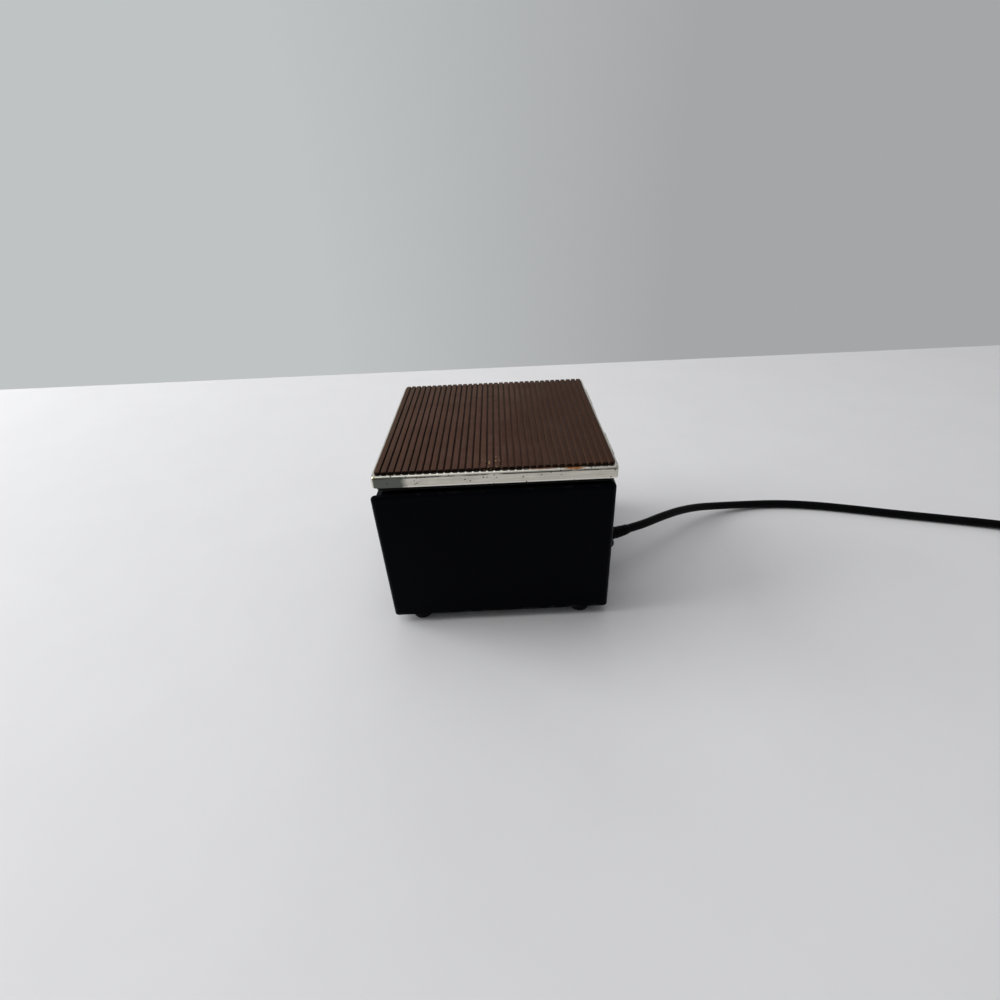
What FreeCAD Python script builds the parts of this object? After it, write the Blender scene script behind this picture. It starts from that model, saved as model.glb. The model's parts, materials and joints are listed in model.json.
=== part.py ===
import FreeCAD, Part
import math
import os
import re
import Sketcher

# Dry block heater: a black enamelled case with two drilled aluminium blocks under a hinged lid.
# Millimetres. X runs from the control end (-X, "front") to the hinge and cord end (+X, "rear"), Y from the
# near side (-Y) to the far side (+Y), Z up from the bench. X and Y are zero at the middle of the whole
# heater, from the knob's face to the hinges.

SIZES = {
    # case
    "case_length": 178.0,
    "case_depth": 178.0,
    "case_height": 118.3,
    "case_wall": 1.5,
    "case_corner_radius": 4.0,
    "case_top_radius": 5.0,
    "recess_depth": 9.0,
    "recess_drop": 12.0,
    "recess_cheek": 2.0,
    "fit_gap": 0.3,
    # feet
    "foot_height": 9.0,
    "foot_diameter": 17.0,
    "foot_taper": 2.0,
    "foot_inset_x": 21.8,
    "foot_inset_y": 11.5,
    "foot_recess_diameter": 9.0,
    "foot_recess_depth": 5.0,
    "foot_screw_diameter": 4.0,
    "foot_screw_head_diameter": 7.6,
    "foot_screw_head_height": 2.4,
    # chassis and the screws that hold the case to it
    "chassis_thickness": 2.0,
    "tab_width": 14.0,
    "tab_margin": 7.0,
    "case_screw_height": 59.0,
    "front_screw_inset": 13.0,
    "rear_screw_inset": 8.6,
    "case_screw_diameter": 4.0,
    "case_screw_head_diameter": 7.0,
    "case_screw_head_height": 2.8,
    "case_screw_grip": 5.0,
    # blocks and the pan that holds them
    "block_length": 95.0,
    "block_height": 50.0,
    "block_gap": 0.5,
    "block_drop": 4.0,
    "block_edge": 1.5,
    "well_diameter": 25.0,
    "well_depth": 44.0,
    "well_pitch_x": 30.0,
    "well_pitch_y": 36.0,
    "well_chamfer": 0.8,
    "thermometer_hole_diameter": 7.0,
    "pan_offset": 9.0,
    "pan_wall": 1.0,
    "rim_width": 6.0,
    "rim_thickness": 0.8,
    # heating
    "heater_thickness": 4.0,
    "heater_margin": 5.0,
    "cutout_diameter": 16.0,
    "cutout_height": 9.0,
    "cutout_tab_length": 8.0,
    "insulation_thickness": 9.0,
    "insulation_side_gap": 2.55,
    "insulation_floor": 10.0,
    "insulation_gap": 0.2,
    # thermostat and knob
    "control_height": 50.0,
    "knob_y": 18.0,
    "thermostat_size": 36.0,
    "thermostat_depth": 24.0,
    "bushing_diameter": 10.0,
    "bushing_length": 6.0,
    "nut_flats": 14.0,
    "nut_thickness": 2.5,
    "shaft_diameter": 6.0,
    "shaft_inside": 14.0,
    "running_gap": 0.05,
    "knob_standoff": 0.8,
    "knob_skirt_diameter": 44.0,
    "knob_skirt_thickness": 2.5,
    "knob_grip_diameter": 29.0,
    "knob_tip_diameter": 27.5,
    "knob_height": 17.5,
    "knob_edge": 1.5,
    "knob_cap": 3.0,
    "knob_recess_diameter": 20.0,
    "flute_count": 20.0,
    "flute_diameter": 3.0,
    "pointer_width": 1.4,
    "pointer_depth": 0.6,
    "pointer_rest_angle": 135.0,
    # temperature sensor
    "bulb_diameter": 6.0,
    "bulb_length": 70.0,
    "capillary_diameter": 2.0,
    # power switch
    "switch_y": -32.0,
    "switch_bezel_length": 34.0,
    "switch_bezel_width": 18.0,
    "switch_bezel_thickness": 2.0,
    "switch_depth": 20.0,
    "switch_wall": 1.5,
    "rocker_length": 26.0,
    "rocker_width": 10.0,
    "rocker_gap": 0.3,
    "rocker_tilt": 10.0,
    "rocker_face": 4.0,
    "rocker_back": 4.0,
    "rocker_pivot_depth": 3.5,
    "trunnion_diameter": 3.0,
    # pilot lamp
    "lamp_height": 78.0,
    "lamp_diameter": 9.0,
    "lamp_flange_diameter": 13.0,
    "lamp_flange_thickness": 1.5,
    "lamp_length": 24.0,
    "lens_diameter": 9.6,
    "lens_height": 5.0,
    "lamp_nut_diameter": 14.0,
    "lamp_nut_thickness": 3.0,
    # mains lead
    "terminal_length": 40.0,
    "terminal_width": 18.0,
    "terminal_height": 10.0,
    "terminal_offset": 24.0,
    "cord_diameter": 7.8,
    "exit_y": -30.0,
    "exit_height": 28.8,
    "relief_neck_diameter": 12.0,
    "relief_collar_diameter": 15.4,
    "relief_collar_thickness": 2.5,
    "relief_root_diameter": 13.2,
    "relief_tip_diameter": 9.0,
    "relief_length": 30.0,
    "relief_bend_radius": 60.0,
    "relief_bend_roll": 2.0,
    "coil_x": 522.0,
    "coil_y": -68.0,
    "coil_lift": 1.4,
    "coil_turns_wide": 3.0,
    "coil_turns_high": 2.0,
    "coil_radius": 39.0,
    "tie_angle": 215.0,
    "tie_width": 8.0,
    "tie_thickness": 0.9,
    "tail_lead": 26.0,
    "tail_length": 24.0,
    "plug_length": 33.0,
    "plug_width": 31.0,
    "plug_thickness": 25.8,
    "plug_taper": 4.5,
    "plug_edge": 2.5,
    "plug_neck_length": 16.0,
    "plug_neck_diameter": 12.6,
    "blade_length": 17.5,
    "blade_width": 6.3,
    "blade_thickness": 1.5,
    "blade_spacing": 12.7,
    "earth_pin_diameter": 4.8,
    "earth_pin_length": 20.5,
    "earth_pin_offset": 11.9,
    "pin_shift": 5.0,
    # hinges
    "hinge_axis_height": 2.0,
    "hinge_barrel_radius": 2.3,
    "hinge_pin_diameter": 2.4,
    "hinge_leaf_thickness": 1.1,
    "hinge_length": 36.0,
    "hinge_inset": 41.0,
    "hinge_leaf_drop": 16.0,
    "hinge_lid_leaf_rise": 9.6,
    "hinge_relief": 0.5,
    "rivet_diameter": 2.5,
    "rivet_head_diameter": 4.6,
    "rivet_head_height": 1.0,
    "rivet_tail_height": 0.7,
    "rivet_spacing": 22.0,
    "rivet_case_drop": 12.0,
    "rivet_lid_rise": 6.4,
    # lid
    "lid_length": 174.4,
    "lid_depth": 177.4,
    "lid_rim_height": 8.9,
    "lid_sheet": 1.2,
    "lid_corner_radius": 3.0,
    "lid_edge_radius": 1.6,
    "lid_gap": 4.4,
    "lid_rest_angle": 0.4,
    "board_gap": 1.0,
    "board_clearance": 0.3,
    "board_corner_radius": 4.0,
    "lid_screw_diameter": 4.0,
    "lid_screw_head_diameter": 8.0,
    "lid_screw_head_height": 2.5,
    "lid_screw_sink": 3.2,
    "lid_screw_spacing_x": 150.0,
    "lid_screw_spacing_y": 130.0,
    "mat_inset_side": 1.8,
    "mat_inset_end": 3.2,
    "mat_corner_radius": 4.0,
    "mat_base": 0.8,
    "rib_height": 1.2,
    "rib_count": 34.0,
    "groove_width": 1.1,
}

# Where the mains lead runs once it has left its strain relief: down to the bench, then to its put-away coil.
CORD_ROUTE = [
    (142.0, -13.4, 35.3),
    (162.0, 1.8, 31.4),
    (186.0, 19.5, 25.4),
    (211.0, 36.0, 17.2),
    (238.0, 48.0, 9.2),
    (269.0, 54.5, 4.7),
    (303.0, 54.5, 4.1),
    (337.0, 48.5, 4.1),
    (371.0, 38.5, 4.1),
    (405.0, 27.0, 4.1),
    (439.0, 16.5, 4.1),
    (471.0, 6.5, 4.3),
    (499.0, -3.8, 5.0),
]
COIL_HEADING = -27.0

NEAR_FAR = (("near", -1), ("far", 1))
FRONT_REAR = (("front", -1), ("rear", 1))

DOC = FreeCAD.newDocument("DryBlockHeater")
SHEET = DOC.addObject("Spreadsheet::Sheet", "Sizes")
for row, (alias, number) in enumerate(SIZES.items(), 1):
    SHEET.set(f"A{row}", alias.replace("_", " "))
    SHEET.set(f"B{row}", str(number))
    SHEET.setAlias(f"B{row}", alias)
DOC.recompute()

SUBPARTS = []
Vector = FreeCAD.Vector
Rotation = FreeCAD.Rotation
TURNS = {
    "up": Rotation(),
    "+x": Rotation(Vector(0, 1, 0), 90),
    "-x": Rotation(Vector(0, 1, 0), -90),
    "+y": Rotation(Vector(1, 0, 0), -90),
    "-y": Rotation(Vector(1, 0, 0), 90),
}

# Heights and faces that several pieces share, as expressions on the sheet.
CASE_X = "((knob_standoff + knob_height) / 2 - hinge_barrel_radius)"
CASE_TOP = "(foot_height + case_height)"
FRONT_WALL = f"({CASE_X} - case_length / 2)"
REAR_WALL = f"({CASE_X} + case_length / 2)"
CONTROL_Z = "(foot_height + control_height)"
LAMP_Z = "(foot_height + lamp_height)"
EXIT_Z = "(foot_height + exit_height)"
SCREW_Z = "(foot_height + case_screw_height)"
PAN_MIDDLE = f"({CASE_X} + pan_offset)"
PAN_X = "(block_length / 2 + block_gap + pan_wall)"
PAN_Y = "(case_depth / 2 - case_wall - insulation_side_gap - insulation_thickness - insulation_gap)"
BLOCK_WIDTH = f"({PAN_Y} - pan_wall - block_gap * 1.5)"
HINGE_Y = "(case_depth / 2 - hinge_inset)"
PAN_FLOOR = f"({CASE_TOP} - block_drop - block_height)"
HEATER_TOP = f"({PAN_FLOOR} - pan_wall)"
HEATER_BOTTOM = f"({HEATER_TOP} - heater_thickness)"
HINGE_X = f"({REAR_WALL} + hinge_barrel_radius)"
HINGE_Z = f"({CASE_TOP} + hinge_axis_height)"
LID_BOTTOM = "(lid_gap - hinge_axis_height)"
LID_TOP = f"({LID_BOTTOM} + lid_rim_height)"
LID_X = "(-hinge_barrel_radius - lid_length / 2)"
BOARD_BOTTOM = "(rim_thickness + board_clearance - hinge_axis_height)"
SWITCH_FRONT = f"({FRONT_WALL} - switch_bezel_thickness)"
PIVOT_X = f"({SWITCH_FRONT} + rocker_pivot_depth)"
COIL_WIDTH = "(coil_turns_wide * cord_diameter)"
COIL_HEIGHT = "(coil_turns_high * cord_diameter)"
TAIL_X = "(coil_x + coil_radius + cord_diameter * (coil_turns_wide - 1) / 2)"
TAIL_Z = "(coil_lift + cord_diameter * (coil_turns_high - 0.5))"


def size(alias):
    """A driving dimension as a number."""
    return float(SHEET.get(alias))


def bound(text):
    """An expression with the sheet's name put before each driving dimension in it."""
    return re.sub(r"[a-z_]+", lambda word: "Sizes." * (word.group() in SIZES) + word.group(), text)


def bind(thing, **properties):
    for name, text in properties.items():
        thing.setExpression(name, bound(text))
    return thing


def place(thing, x="0", y="0", z="0", turn="up"):
    """Turn a piece, and tie its place to the sheet."""
    thing.Placement = FreeCAD.Placement(Vector(), TURNS[turn] if isinstance(turn, str) else turn)
    for axis, text in zip("xyz", (x, y, z)):
        thing.setExpression(f"Placement.Base.{axis}", bound(text))
    return thing


def on_hinge(thing):
    """Put a lid piece, made about the hinge axis, on that axis at the lid's rest angle."""
    place(thing, HINGE_X, "0", HINGE_Z, Rotation(Vector(0, 1, 0), 0))
    thing.setExpression("Placement.Rotation.Angle", bound("lid_rest_angle"))
    return thing


def subpart(thing, label):
    thing.Label = label
    SUBPARTS.append(thing)
    return thing


def box(name, x, y, z):
    """A block between two expressions on each axis."""
    block = DOC.addObject("Part::Box", name)
    for side, (low, high) in zip(("Length", "Width", "Height"), (x, y, z)):
        bind(block, **{side: f"({high}) - ({low})"})
    return place(block, x[0], y[0], z[0])


def centred(half, middle="0"):
    """The two ends of a span about its middle."""
    return f"{middle} - ({half})", f"{middle} + ({half})"


def cylinder(name, diameter, length, x, y, z, turn="up"):
    rod = DOC.addObject("Part::Cylinder", name)
    bind(rod, Radius=f"({diameter}) / 2", Height=length)
    return place(rod, x, y, z, turn)


def fuse(name, pieces):
    joined = DOC.addObject("Part::MultiFuse", name)
    joined.Shapes = pieces
    joined.Refine = True
    return joined


def cut(name, base, tools):
    trimmed = DOC.addObject("Part::Cut", name)
    trimmed.Base = base
    trimmed.Tool = tools[0] if len(tools) == 1 else fuse(f"{name}Tools", tools)
    return trimmed


def group(name, pieces):
    together = DOC.addObject("Part::Compound", name)
    together.Links = pieces
    return together


def sketch(body, plane, name, x="0", y="0", z="0"):
    """A sketch on one of the body's own planes, moved by expressions in that plane's axes."""
    drawn = body.newObject("Sketcher::SketchObject", name)
    drawn.AttachmentSupport = [(next(f for f in body.Origin.OriginFeatures if f.Role == plane), "")]
    drawn.MapMode = "FlatFace"
    for axis, text in zip("xyz", (x, y, z)):
        drawn.setExpression(f"AttachmentOffset.Base.{axis}", bound(text))
    return drawn


def outline(drawn, points):
    """A closed outline of straight lines, each corner tied to the sheet by its two coordinates."""
    count = len(points)
    for i in range(count):
        start = Vector(i, i * i, 0)
        end = Vector((i + 1) % count, ((i + 1) % count) ** 2, 0)
        drawn.addGeometry(Part.LineSegment(start, end), False)
    for i, (across, up) in enumerate(points):
        drawn.addConstraint(Sketcher.Constraint("Coincident", i - 1 if i else count - 1, 2, i, 1))
        for kind, text in (("DistanceX", across), ("DistanceY", up)):
            number = drawn.addConstraint(Sketcher.Constraint(kind, -1, 1, i, 1, 1.0))
            drawn.setExpression(f"Constraints[{number}]", bound(text))


def rectangle(drawn, width, height):
    """A rectangle about the sketch's own origin."""
    half = (f"({width}) / 2", f"({height}) / 2")
    signs = ((-1, -1), (1, -1), (1, 1), (-1, 1))
    outline(drawn, [(f"{a} * {half[0]}", f"{b} * {half[1]}") for a, b in signs])


def upright(edge, shape):
    return abs(edge.Vertexes[0].Z - edge.Vertexes[-1].Z) > shape.BoundBox.ZLength / 2


def at_top(edge, shape):
    return min(v.Z for v in edge.Vertexes) > shape.BoundBox.ZMax - 0.01


def every_edge(edge, shape):
    return edge.Length > 0


def fillet(body, name, chosen, radius, kind="PartDesign::Fillet"):
    """Round the edges of the body so far that the test picks, or chamfer them."""
    DOC.recompute()
    before = body.Tip
    names = [f"Edge{i}" for i, edge in enumerate(before.Shape.Edges, 1) if chosen(edge, before.Shape)]
    dressed = body.newObject(kind, name)
    dressed.Base = (before, names)
    return bind(dressed, **{"Radius" if kind.endswith("Fillet") else "Size": radius})


def plate(name, x, y, z, corner):
    """A flat piece with rounded corners. x and y are (middle, full size), z is (low, high)."""
    body = DOC.addObject("PartDesign::Body", name)
    rectangle(sketch(body, "XY_Plane", f"{name}Outline", x[0], y[0], z[0]), x[1], y[1])
    pad = body.newObject("PartDesign::Pad", f"{name}Pad")
    pad.Profile = body.Group[0]
    bind(pad, Length=f"({z[1]}) - ({z[0]})")
    fillet(body, f"{name}Corners", upright, corner)
    return body


def shell(name, x, y, z, corner, edge, wall):
    """An upside-down sheet-metal pan, open below, with rounded corners and a rounded top edge."""
    body = plate(name, x, y, z, corner)
    fillet(body, f"{name}TopEdge", at_top, edge)
    DOC.recompute()
    before = body.Tip
    floor = before.Shape.BoundBox.ZMin + 0.01
    below = [f"Face{i}" for i, face in enumerate(before.Shape.Faces, 1) if face.BoundBox.ZMax < floor]
    hollow = body.newObject("PartDesign::Thickness", f"{name}Wall")
    hollow.Base = (before, below)
    hollow.Reversed = True
    bind(hollow, Value=wall)
    return body


def turned(name, points):
    """A solid of revolution about Z from an outline of (radius, height) corners."""
    body = DOC.addObject("PartDesign::Body", name)
    drawn = sketch(body, "XZ_Plane", f"{name}Profile")
    outline(drawn, points)
    spun = body.newObject("PartDesign::Revolution", f"{name}Turned")
    spun.Profile = drawn
    spun.ReferenceAxis = (drawn, ["V_Axis"])
    spun.Angle = 360
    return body


def rounded_path(points):
    """Straight runs joined by arcs that take 0.45 of the shorter run, and those arcs' radii."""
    points = [Vector(*p) for p in points]
    edges = []
    radii = []
    start = points[0]
    for before, corner, after in zip(points, points[1:], points[2:]):
        back = (before - corner).normalize()
        on = (after - corner).normalize()
        reach = 0.45 * min((corner - before).Length, (after - corner).Length)
        half_turn = (math.pi - back.getAngle(on)) / 2
        radius = reach / math.tan(half_turn)
        middle = (back + on).normalize()
        top = corner + middle * (radius / math.cos(half_turn) - radius)
        enter = corner + back * reach
        leave = corner + on * reach
        edges.append(Part.LineSegment(start, enter).toShape())
        edges.append(Part.Arc(enter, top, leave).toShape())
        radii.append(radius)
        start = leave
    edges.append(Part.LineSegment(start, points[-1]).toShape())
    return Part.Wire(edges), radii


def tube(name, points, diameter):
    """A round tube along a rounded path, with its volume compared with its section times its length."""
    path, radii = rounded_path(points)
    start = points[0]
    along = Vector(*points[1]) - Vector(*start)
    section = Part.Wire(Part.Circle(Vector(*start), along, diameter / 2).toShape())
    solid = path.makePipeShell([section], True, False)
    expected = math.pi * diameter**2 / 4 * path.Length
    if abs(solid.Volume / expected - 1) > 0.01:
        raise RuntimeError(f"{name}: volume {solid.Volume:.0f} against {expected:.0f}")
    feature = DOC.addObject("Part::Feature", name)
    feature.Shape = solid
    print(f"{name}: {path.Length:.0f} mm long, radii {', '.join(f'{r:.0f}' for r in radii)}")
    return feature


def screw(name, head_diameter, head_height, diameter, grip, x, y, z, turn):
    """A flat-headed screw along X, with its seat at the given place and its shank against the turn."""
    head = cylinder(f"{name}Head", head_diameter, head_height, x, y, z, turn)
    shank = cylinder(f"{name}Shank", diameter, grip, x, y, z, {"+x": "-x", "-x": "+x"}[turn])
    return fuse(name, [head, shank])


def make_case():
    """The enamelled shell, with a finger recess under the lid's front edge, its top opening and its holes."""
    walls = shell(
        "CaseShell",
        (CASE_X, "case_length"),
        ("0", "case_depth"),
        ("foot_height", CASE_TOP),
        "case_corner_radius",
        "case_top_radius",
        "case_wall",
    )
    recess = box(
        "FingerRecess",
        (f"{FRONT_WALL} - fit_gap", f"{FRONT_WALL} + recess_depth"),
        centred("case_depth / 2 - recess_cheek"),
        (f"{CASE_TOP} - recess_drop", f"{CASE_TOP} + fit_gap"),
    )
    low = f"{CASE_TOP} - recess_drop - case_wall"
    ledge = plate(
        "RecessLedge",
        (f"{FRONT_WALL} + (recess_depth + case_wall * 3 / 2) / 2", "recess_depth + case_wall / 2"),
        ("0", "case_depth - case_wall"),
        (low, f"{CASE_TOP} - recess_drop"),
        "case_corner_radius - case_wall / 2",
    )
    back_start = f"{FRONT_WALL} + recess_depth"
    back = (back_start, f"{back_start} + case_wall")
    bend_y = "(case_depth / 2 - case_top_radius)"
    bend_z = f"({CASE_TOP} - case_top_radius)"
    folds = [
        ledge,
        box("RecessBackWide", back, centred("case_depth / 2 - case_wall / 2"), (low, bend_z)),
        box("RecessBackTall", back, centred(bend_y), (low, f"{CASE_TOP} - case_wall / 2")),
    ]
    for side, way in NEAR_FAR:
        bend = ("2 * case_top_radius - case_wall", "case_wall", back_start, f"{way} * {bend_y}", bend_z, "+x")
        folds.append(cylinder(f"RecessBackBend{side}", *bend))
    blank = fuse("CaseFolded", [cut("CaseOpened", walls, [recess]), *folds])
    through = "case_wall + 2 * fit_gap + case_top_radius"
    front_start = f"{FRONT_WALL} - fit_gap"
    rear_start = f"{REAR_WALL} + fit_gap"
    tools = [
        box(
            "TopOpening",
            centred(f"{PAN_X} + fit_gap", PAN_MIDDLE),
            centred(f"{PAN_Y} + fit_gap"),
            (f"{CASE_TOP} - case_wall - fit_gap", f"{CASE_TOP} + fit_gap"),
        ),
        cylinder("KnobHole", "bushing_diameter + fit_gap", through, front_start, "knob_y", CONTROL_Z, "+x"),
        cylinder("LampHole", "lamp_diameter + fit_gap", through, front_start, "switch_y", LAMP_Z, "+x"),
        box(
            "SwitchHole",
            (front_start, f"{front_start} + {through}"),
            centred("rocker_width / 2 + rocker_gap + switch_wall + fit_gap", "switch_y"),
            centred("rocker_length / 2 + rocker_gap + switch_wall + fit_gap", CONTROL_Z),
        ),
        cylinder("CordHole", "relief_neck_diameter + fit_gap", through, rear_start, "exit_y", EXIT_Z, "-x"),
    ]
    for side, way in NEAR_FAR:
        for end, x, turn in (("front", front_start, "+x"), ("rear", rear_start, "-x")):
            y = f"{way} * (case_depth / 2 - {end}_screw_inset)"
            hole = "case_screw_diameter + 2 * running_gap"
            tools.append(cylinder(f"CaseHole{end}{side}", hole, through, x, y, SCREW_Z, turn))
        for number, offset in enumerate((-1, 1)):
            y = f"{way} * {HINGE_Y} + {offset} * rivet_spacing / 2"
            z = f"{HINGE_Z} - rivet_case_drop"
            hole = "rivet_diameter + 2 * running_gap"
            tools.append(cylinder(f"RivetHole{side}{number}", hole, through, rear_start, y, z, "-x"))
    subpart(cut("Case", blank, tools), "housing")


def make_chassis():
    """The base plate, with four tabs bent up inside the case's end walls, and the feet under it."""
    floor = plate(
        "ChassisFloor",
        (CASE_X, "case_length - 2 * (case_wall + fit_gap)"),
        ("0", "case_depth - 2 * (case_wall + fit_gap)"),
        ("foot_height", "foot_height + chassis_thickness"),
        "case_corner_radius - case_wall - fit_gap",
    )
    pieces = [floor]
    holes = []
    case_screws = []
    foot_screws = []
    for end, x_way in FRONT_REAR:
        wall = f"{CASE_X} + {x_way} * (case_length / 2 - case_wall - fit_gap)"
        inner = f"{wall} - {x_way} * chassis_thickness"
        turn = "+x" if x_way > 0 else "-x"
        for side, y_way in NEAR_FAR:
            outer_y = f"{y_way} * (case_depth / 2 - case_corner_radius)"
            inner_y = f"{y_way} * (case_depth / 2 - case_corner_radius - tab_width)"
            pieces.append(
                box(
                    f"Tab{end}{side}",
                    (inner, wall) if x_way > 0 else (wall, inner),
                    (inner_y, outer_y) if y_way > 0 else (outer_y, inner_y),
                    ("foot_height", f"{SCREW_Z} + tab_margin"),
                )
            )
            y = f"{y_way} * (case_depth / 2 - {end}_screw_inset)"
            x = f"{CASE_X} + {x_way} * case_length / 2"
            hole_x = f"{x} - {x_way} * (case_screw_grip + fit_gap)"
            hole = "case_screw_diameter + 2 * running_gap"
            holes.append(cylinder(f"TabHole{end}{side}", hole, "case_screw_grip", hole_x, y, SCREW_Z, turn))
            case_screws.append(
                screw(
                    f"CaseScrew{end}{side}",
                    "case_screw_head_diameter",
                    "case_screw_head_height",
                    "case_screw_diameter",
                    "case_screw_grip",
                    x,
                    y,
                    SCREW_Z,
                    turn,
                )
            )
            foot_screws.append(make_foot(end, side, x_way, y_way, holes))
    subpart(cut("Chassis", fuse("ChassisBent", pieces), holes), "chassis")
    subpart(group("CaseScrews", case_screws), "case_screws")
    subpart(group("FootScrews", foot_screws), "foot_screws")


def make_foot(end, side, x_way, y_way, holes):
    """One tapered rubber foot. Its sunk screw is returned, and the screw's hole in the chassis is listed."""
    name = f"Foot{end.title()}{side.title()}"
    x = f"{CASE_X} + {x_way} * (case_length / 2 - foot_inset_x)"
    y = f"{y_way} * (case_depth / 2 - foot_inset_y)"
    cone = DOC.addObject("Part::Cone", f"{name}Rubber")
    bind(cone, Radius1="(foot_diameter - foot_taper) / 2", Radius2="foot_diameter / 2", Height="foot_height")
    place(cone, x, y, "0")
    recess = cylinder(f"{name}Recess", "foot_recess_diameter", "foot_recess_depth", x, y, "0")
    hole = "foot_screw_diameter + 2 * running_gap"
    through = cylinder(f"{name}Hole", hole, "foot_height", x, y, "0")
    subpart(cut(name, cone, [recess, through]), f"foot_{side}_{end}")
    reach = "foot_height - foot_recess_depth + chassis_thickness"
    holes.append(cylinder(f"{name}PlateHole", hole, "2 * chassis_thickness", x, y, "foot_height - fit_gap"))
    head = cylinder(
        f"{name}ScrewHead",
        "foot_screw_head_diameter",
        "foot_screw_head_height",
        x,
        y,
        "foot_recess_depth - foot_screw_head_height",
    )
    shank = cylinder(f"{name}ScrewShank", "foot_screw_diameter", reach, x, y, "foot_recess_depth")
    return fuse(f"{name}Screw", [head, shank])


def make_block_pan():
    """The bright pan let into the top of the case, with a rim that lies on the enamel."""
    rim = plate(
        "PanRim",
        (PAN_MIDDLE, f"2 * ({PAN_X} + rim_width)"),
        ("0", f"2 * ({PAN_Y} + rim_width)"),
        (CASE_TOP, f"{CASE_TOP} + rim_thickness"),
        "rim_width",
    )
    bowl = box("PanBowl", centred(PAN_X, PAN_MIDDLE), centred(PAN_Y), (HEATER_TOP, CASE_TOP))
    room = box(
        "PanRoom",
        centred(f"{PAN_X} - pan_wall", PAN_MIDDLE),
        centred(f"{PAN_Y} - pan_wall"),
        (PAN_FLOOR, f"{CASE_TOP} + 2 * rim_thickness"),
    )
    subpart(cut("Pan", fuse("PanBlank", [rim, bowl]), [room]), "block_pan")


def bored(name, diameter, depth, x, y, top):
    """Tools for a flat-bottomed hole in a block's top, and for the chamfer round its mouth."""
    hole = cylinder(name, diameter, f"{depth} + fit_gap", x, y, f"{top} - {depth}")
    mouth = DOC.addObject("Part::Cone", f"{name}Mouth")
    bind(mouth, Radius1=f"{diameter} / 2", Radius2=f"{diameter} / 2 + well_chamfer + fit_gap")
    bind(mouth, Height="well_chamfer + fit_gap")
    return hole, place(mouth, x, y, f"{top} - well_chamfer")


def make_blocks():
    """Two lift-out aluminium blocks, each with two rows of three tube wells and a hole for a thermometer."""
    top = f"({CASE_TOP} - block_drop)"
    for side, way in NEAR_FAR:
        middle = f"({way} * ({BLOCK_WIDTH} + block_gap) / 2)"
        name = f"Block{side.title()}"
        length = (PAN_MIDDLE, "block_length")
        body = plate(f"{name}Blank", length, (middle, BLOCK_WIDTH), (PAN_FLOOR, top), "block_edge")
        fillet(body, f"{name}Edge", at_top, "block_edge / 2", "PartDesign::Chamfer")
        thermometer_x = f"{PAN_MIDDLE} + well_pitch_x / 2"
        tools = [*bored(f"{name}Hole", "thermometer_hole_diameter", "well_depth", thermometer_x, middle, top)]
        for column in (-1, 0, 1):
            for row in (-0.5, 0.5):
                x = f"{PAN_MIDDLE} + {column} * well_pitch_x"
                y = f"{middle} + {row} * well_pitch_y"
                tools += bored(f"{name}Well{len(tools)}", "well_diameter", "well_depth", x, y, top)
        subpart(cut(name, body, tools), f"heating_block_{side}")


def make_heating():
    """The flat element under the pan, its safety cut-out, and the fibre jacket around them."""
    half_x = f"{PAN_X} - heater_margin"
    half_y = f"{PAN_Y} - heater_margin"
    plate_size = ((PAN_MIDDLE, f"2 * ({half_x})"), ("0", f"2 * ({half_y})"))
    subpart(plate("HeaterPlate", *plate_size, (HEATER_BOTTOM, HEATER_TOP), "heater_margin"), "heater_plate")
    disc_z = f"{HEATER_BOTTOM} - cutout_height"
    disc = cylinder("CutoutDisc", "cutout_diameter", "cutout_height", PAN_MIDDLE, "0", disc_z)
    tab = box(
        "CutoutTabs",
        centred("cutout_diameter / 2 + cutout_tab_length / 2", PAN_MIDDLE),
        centred("cutout_diameter / 5"),
        (disc_z, f"{disc_z} + chassis_thickness"),
    )
    subpart(fuse("Cutout", [disc, tab]), "thermal_cutout")
    outside_x = f"{PAN_X} + insulation_gap + insulation_thickness"
    outside_y = f"{PAN_Y} + insulation_gap + insulation_thickness"
    jacket = box(
        "JacketBlank",
        centred(outside_x, PAN_MIDDLE),
        centred(outside_y),
        (f"{HEATER_BOTTOM} - insulation_gap - insulation_floor", f"{CASE_TOP} - case_wall - fit_gap"),
    )
    room = box(
        "JacketRoom",
        centred(f"{PAN_X} + insulation_gap", PAN_MIDDLE),
        centred(f"{PAN_Y} + insulation_gap"),
        (f"{HEATER_BOTTOM} - insulation_gap", CASE_TOP),
    )
    window = box(
        "JacketWindow",
        centred("cutout_diameter / 2 + cutout_tab_length", PAN_MIDDLE),
        centred("cutout_diameter / 2 + insulation_gap"),
        (f"{HEATER_BOTTOM} - 2 * insulation_floor", HEATER_BOTTOM),
    )
    bulb_x = f"({PAN_MIDDLE} - {PAN_X} - insulation_gap - bulb_diameter / 2)"
    bulb_z = f"({PAN_FLOOR} + block_height / 2)"
    slot = box(
        "BulbSlot",
        (f"{bulb_x} - bulb_diameter", f"{bulb_x} + bulb_diameter"),
        ("-bulb_length / 2 - fit_gap", "bulb_length / 2 + insulation_thickness + bulb_diameter"),
        centred("bulb_diameter / 2 + fit_gap", bulb_z),
    )
    way_out = box(
        "CapillarySlot",
        (f"{bulb_x} - 2 * insulation_thickness", bulb_x),
        ("bulb_length / 2 + fit_gap", "bulb_length / 2 + insulation_thickness + bulb_diameter"),
        centred("bulb_diameter / 2 + fit_gap", bulb_z),
    )
    subpart(cut("Jacket", jacket, [room, window, slot, way_out]), "insulation")
    bulb = cylinder("Bulb", "bulb_diameter", "bulb_length", bulb_x, "-bulb_length / 2", bulb_z, "+y")
    return subpart(bulb, "sensor_bulb")


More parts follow.
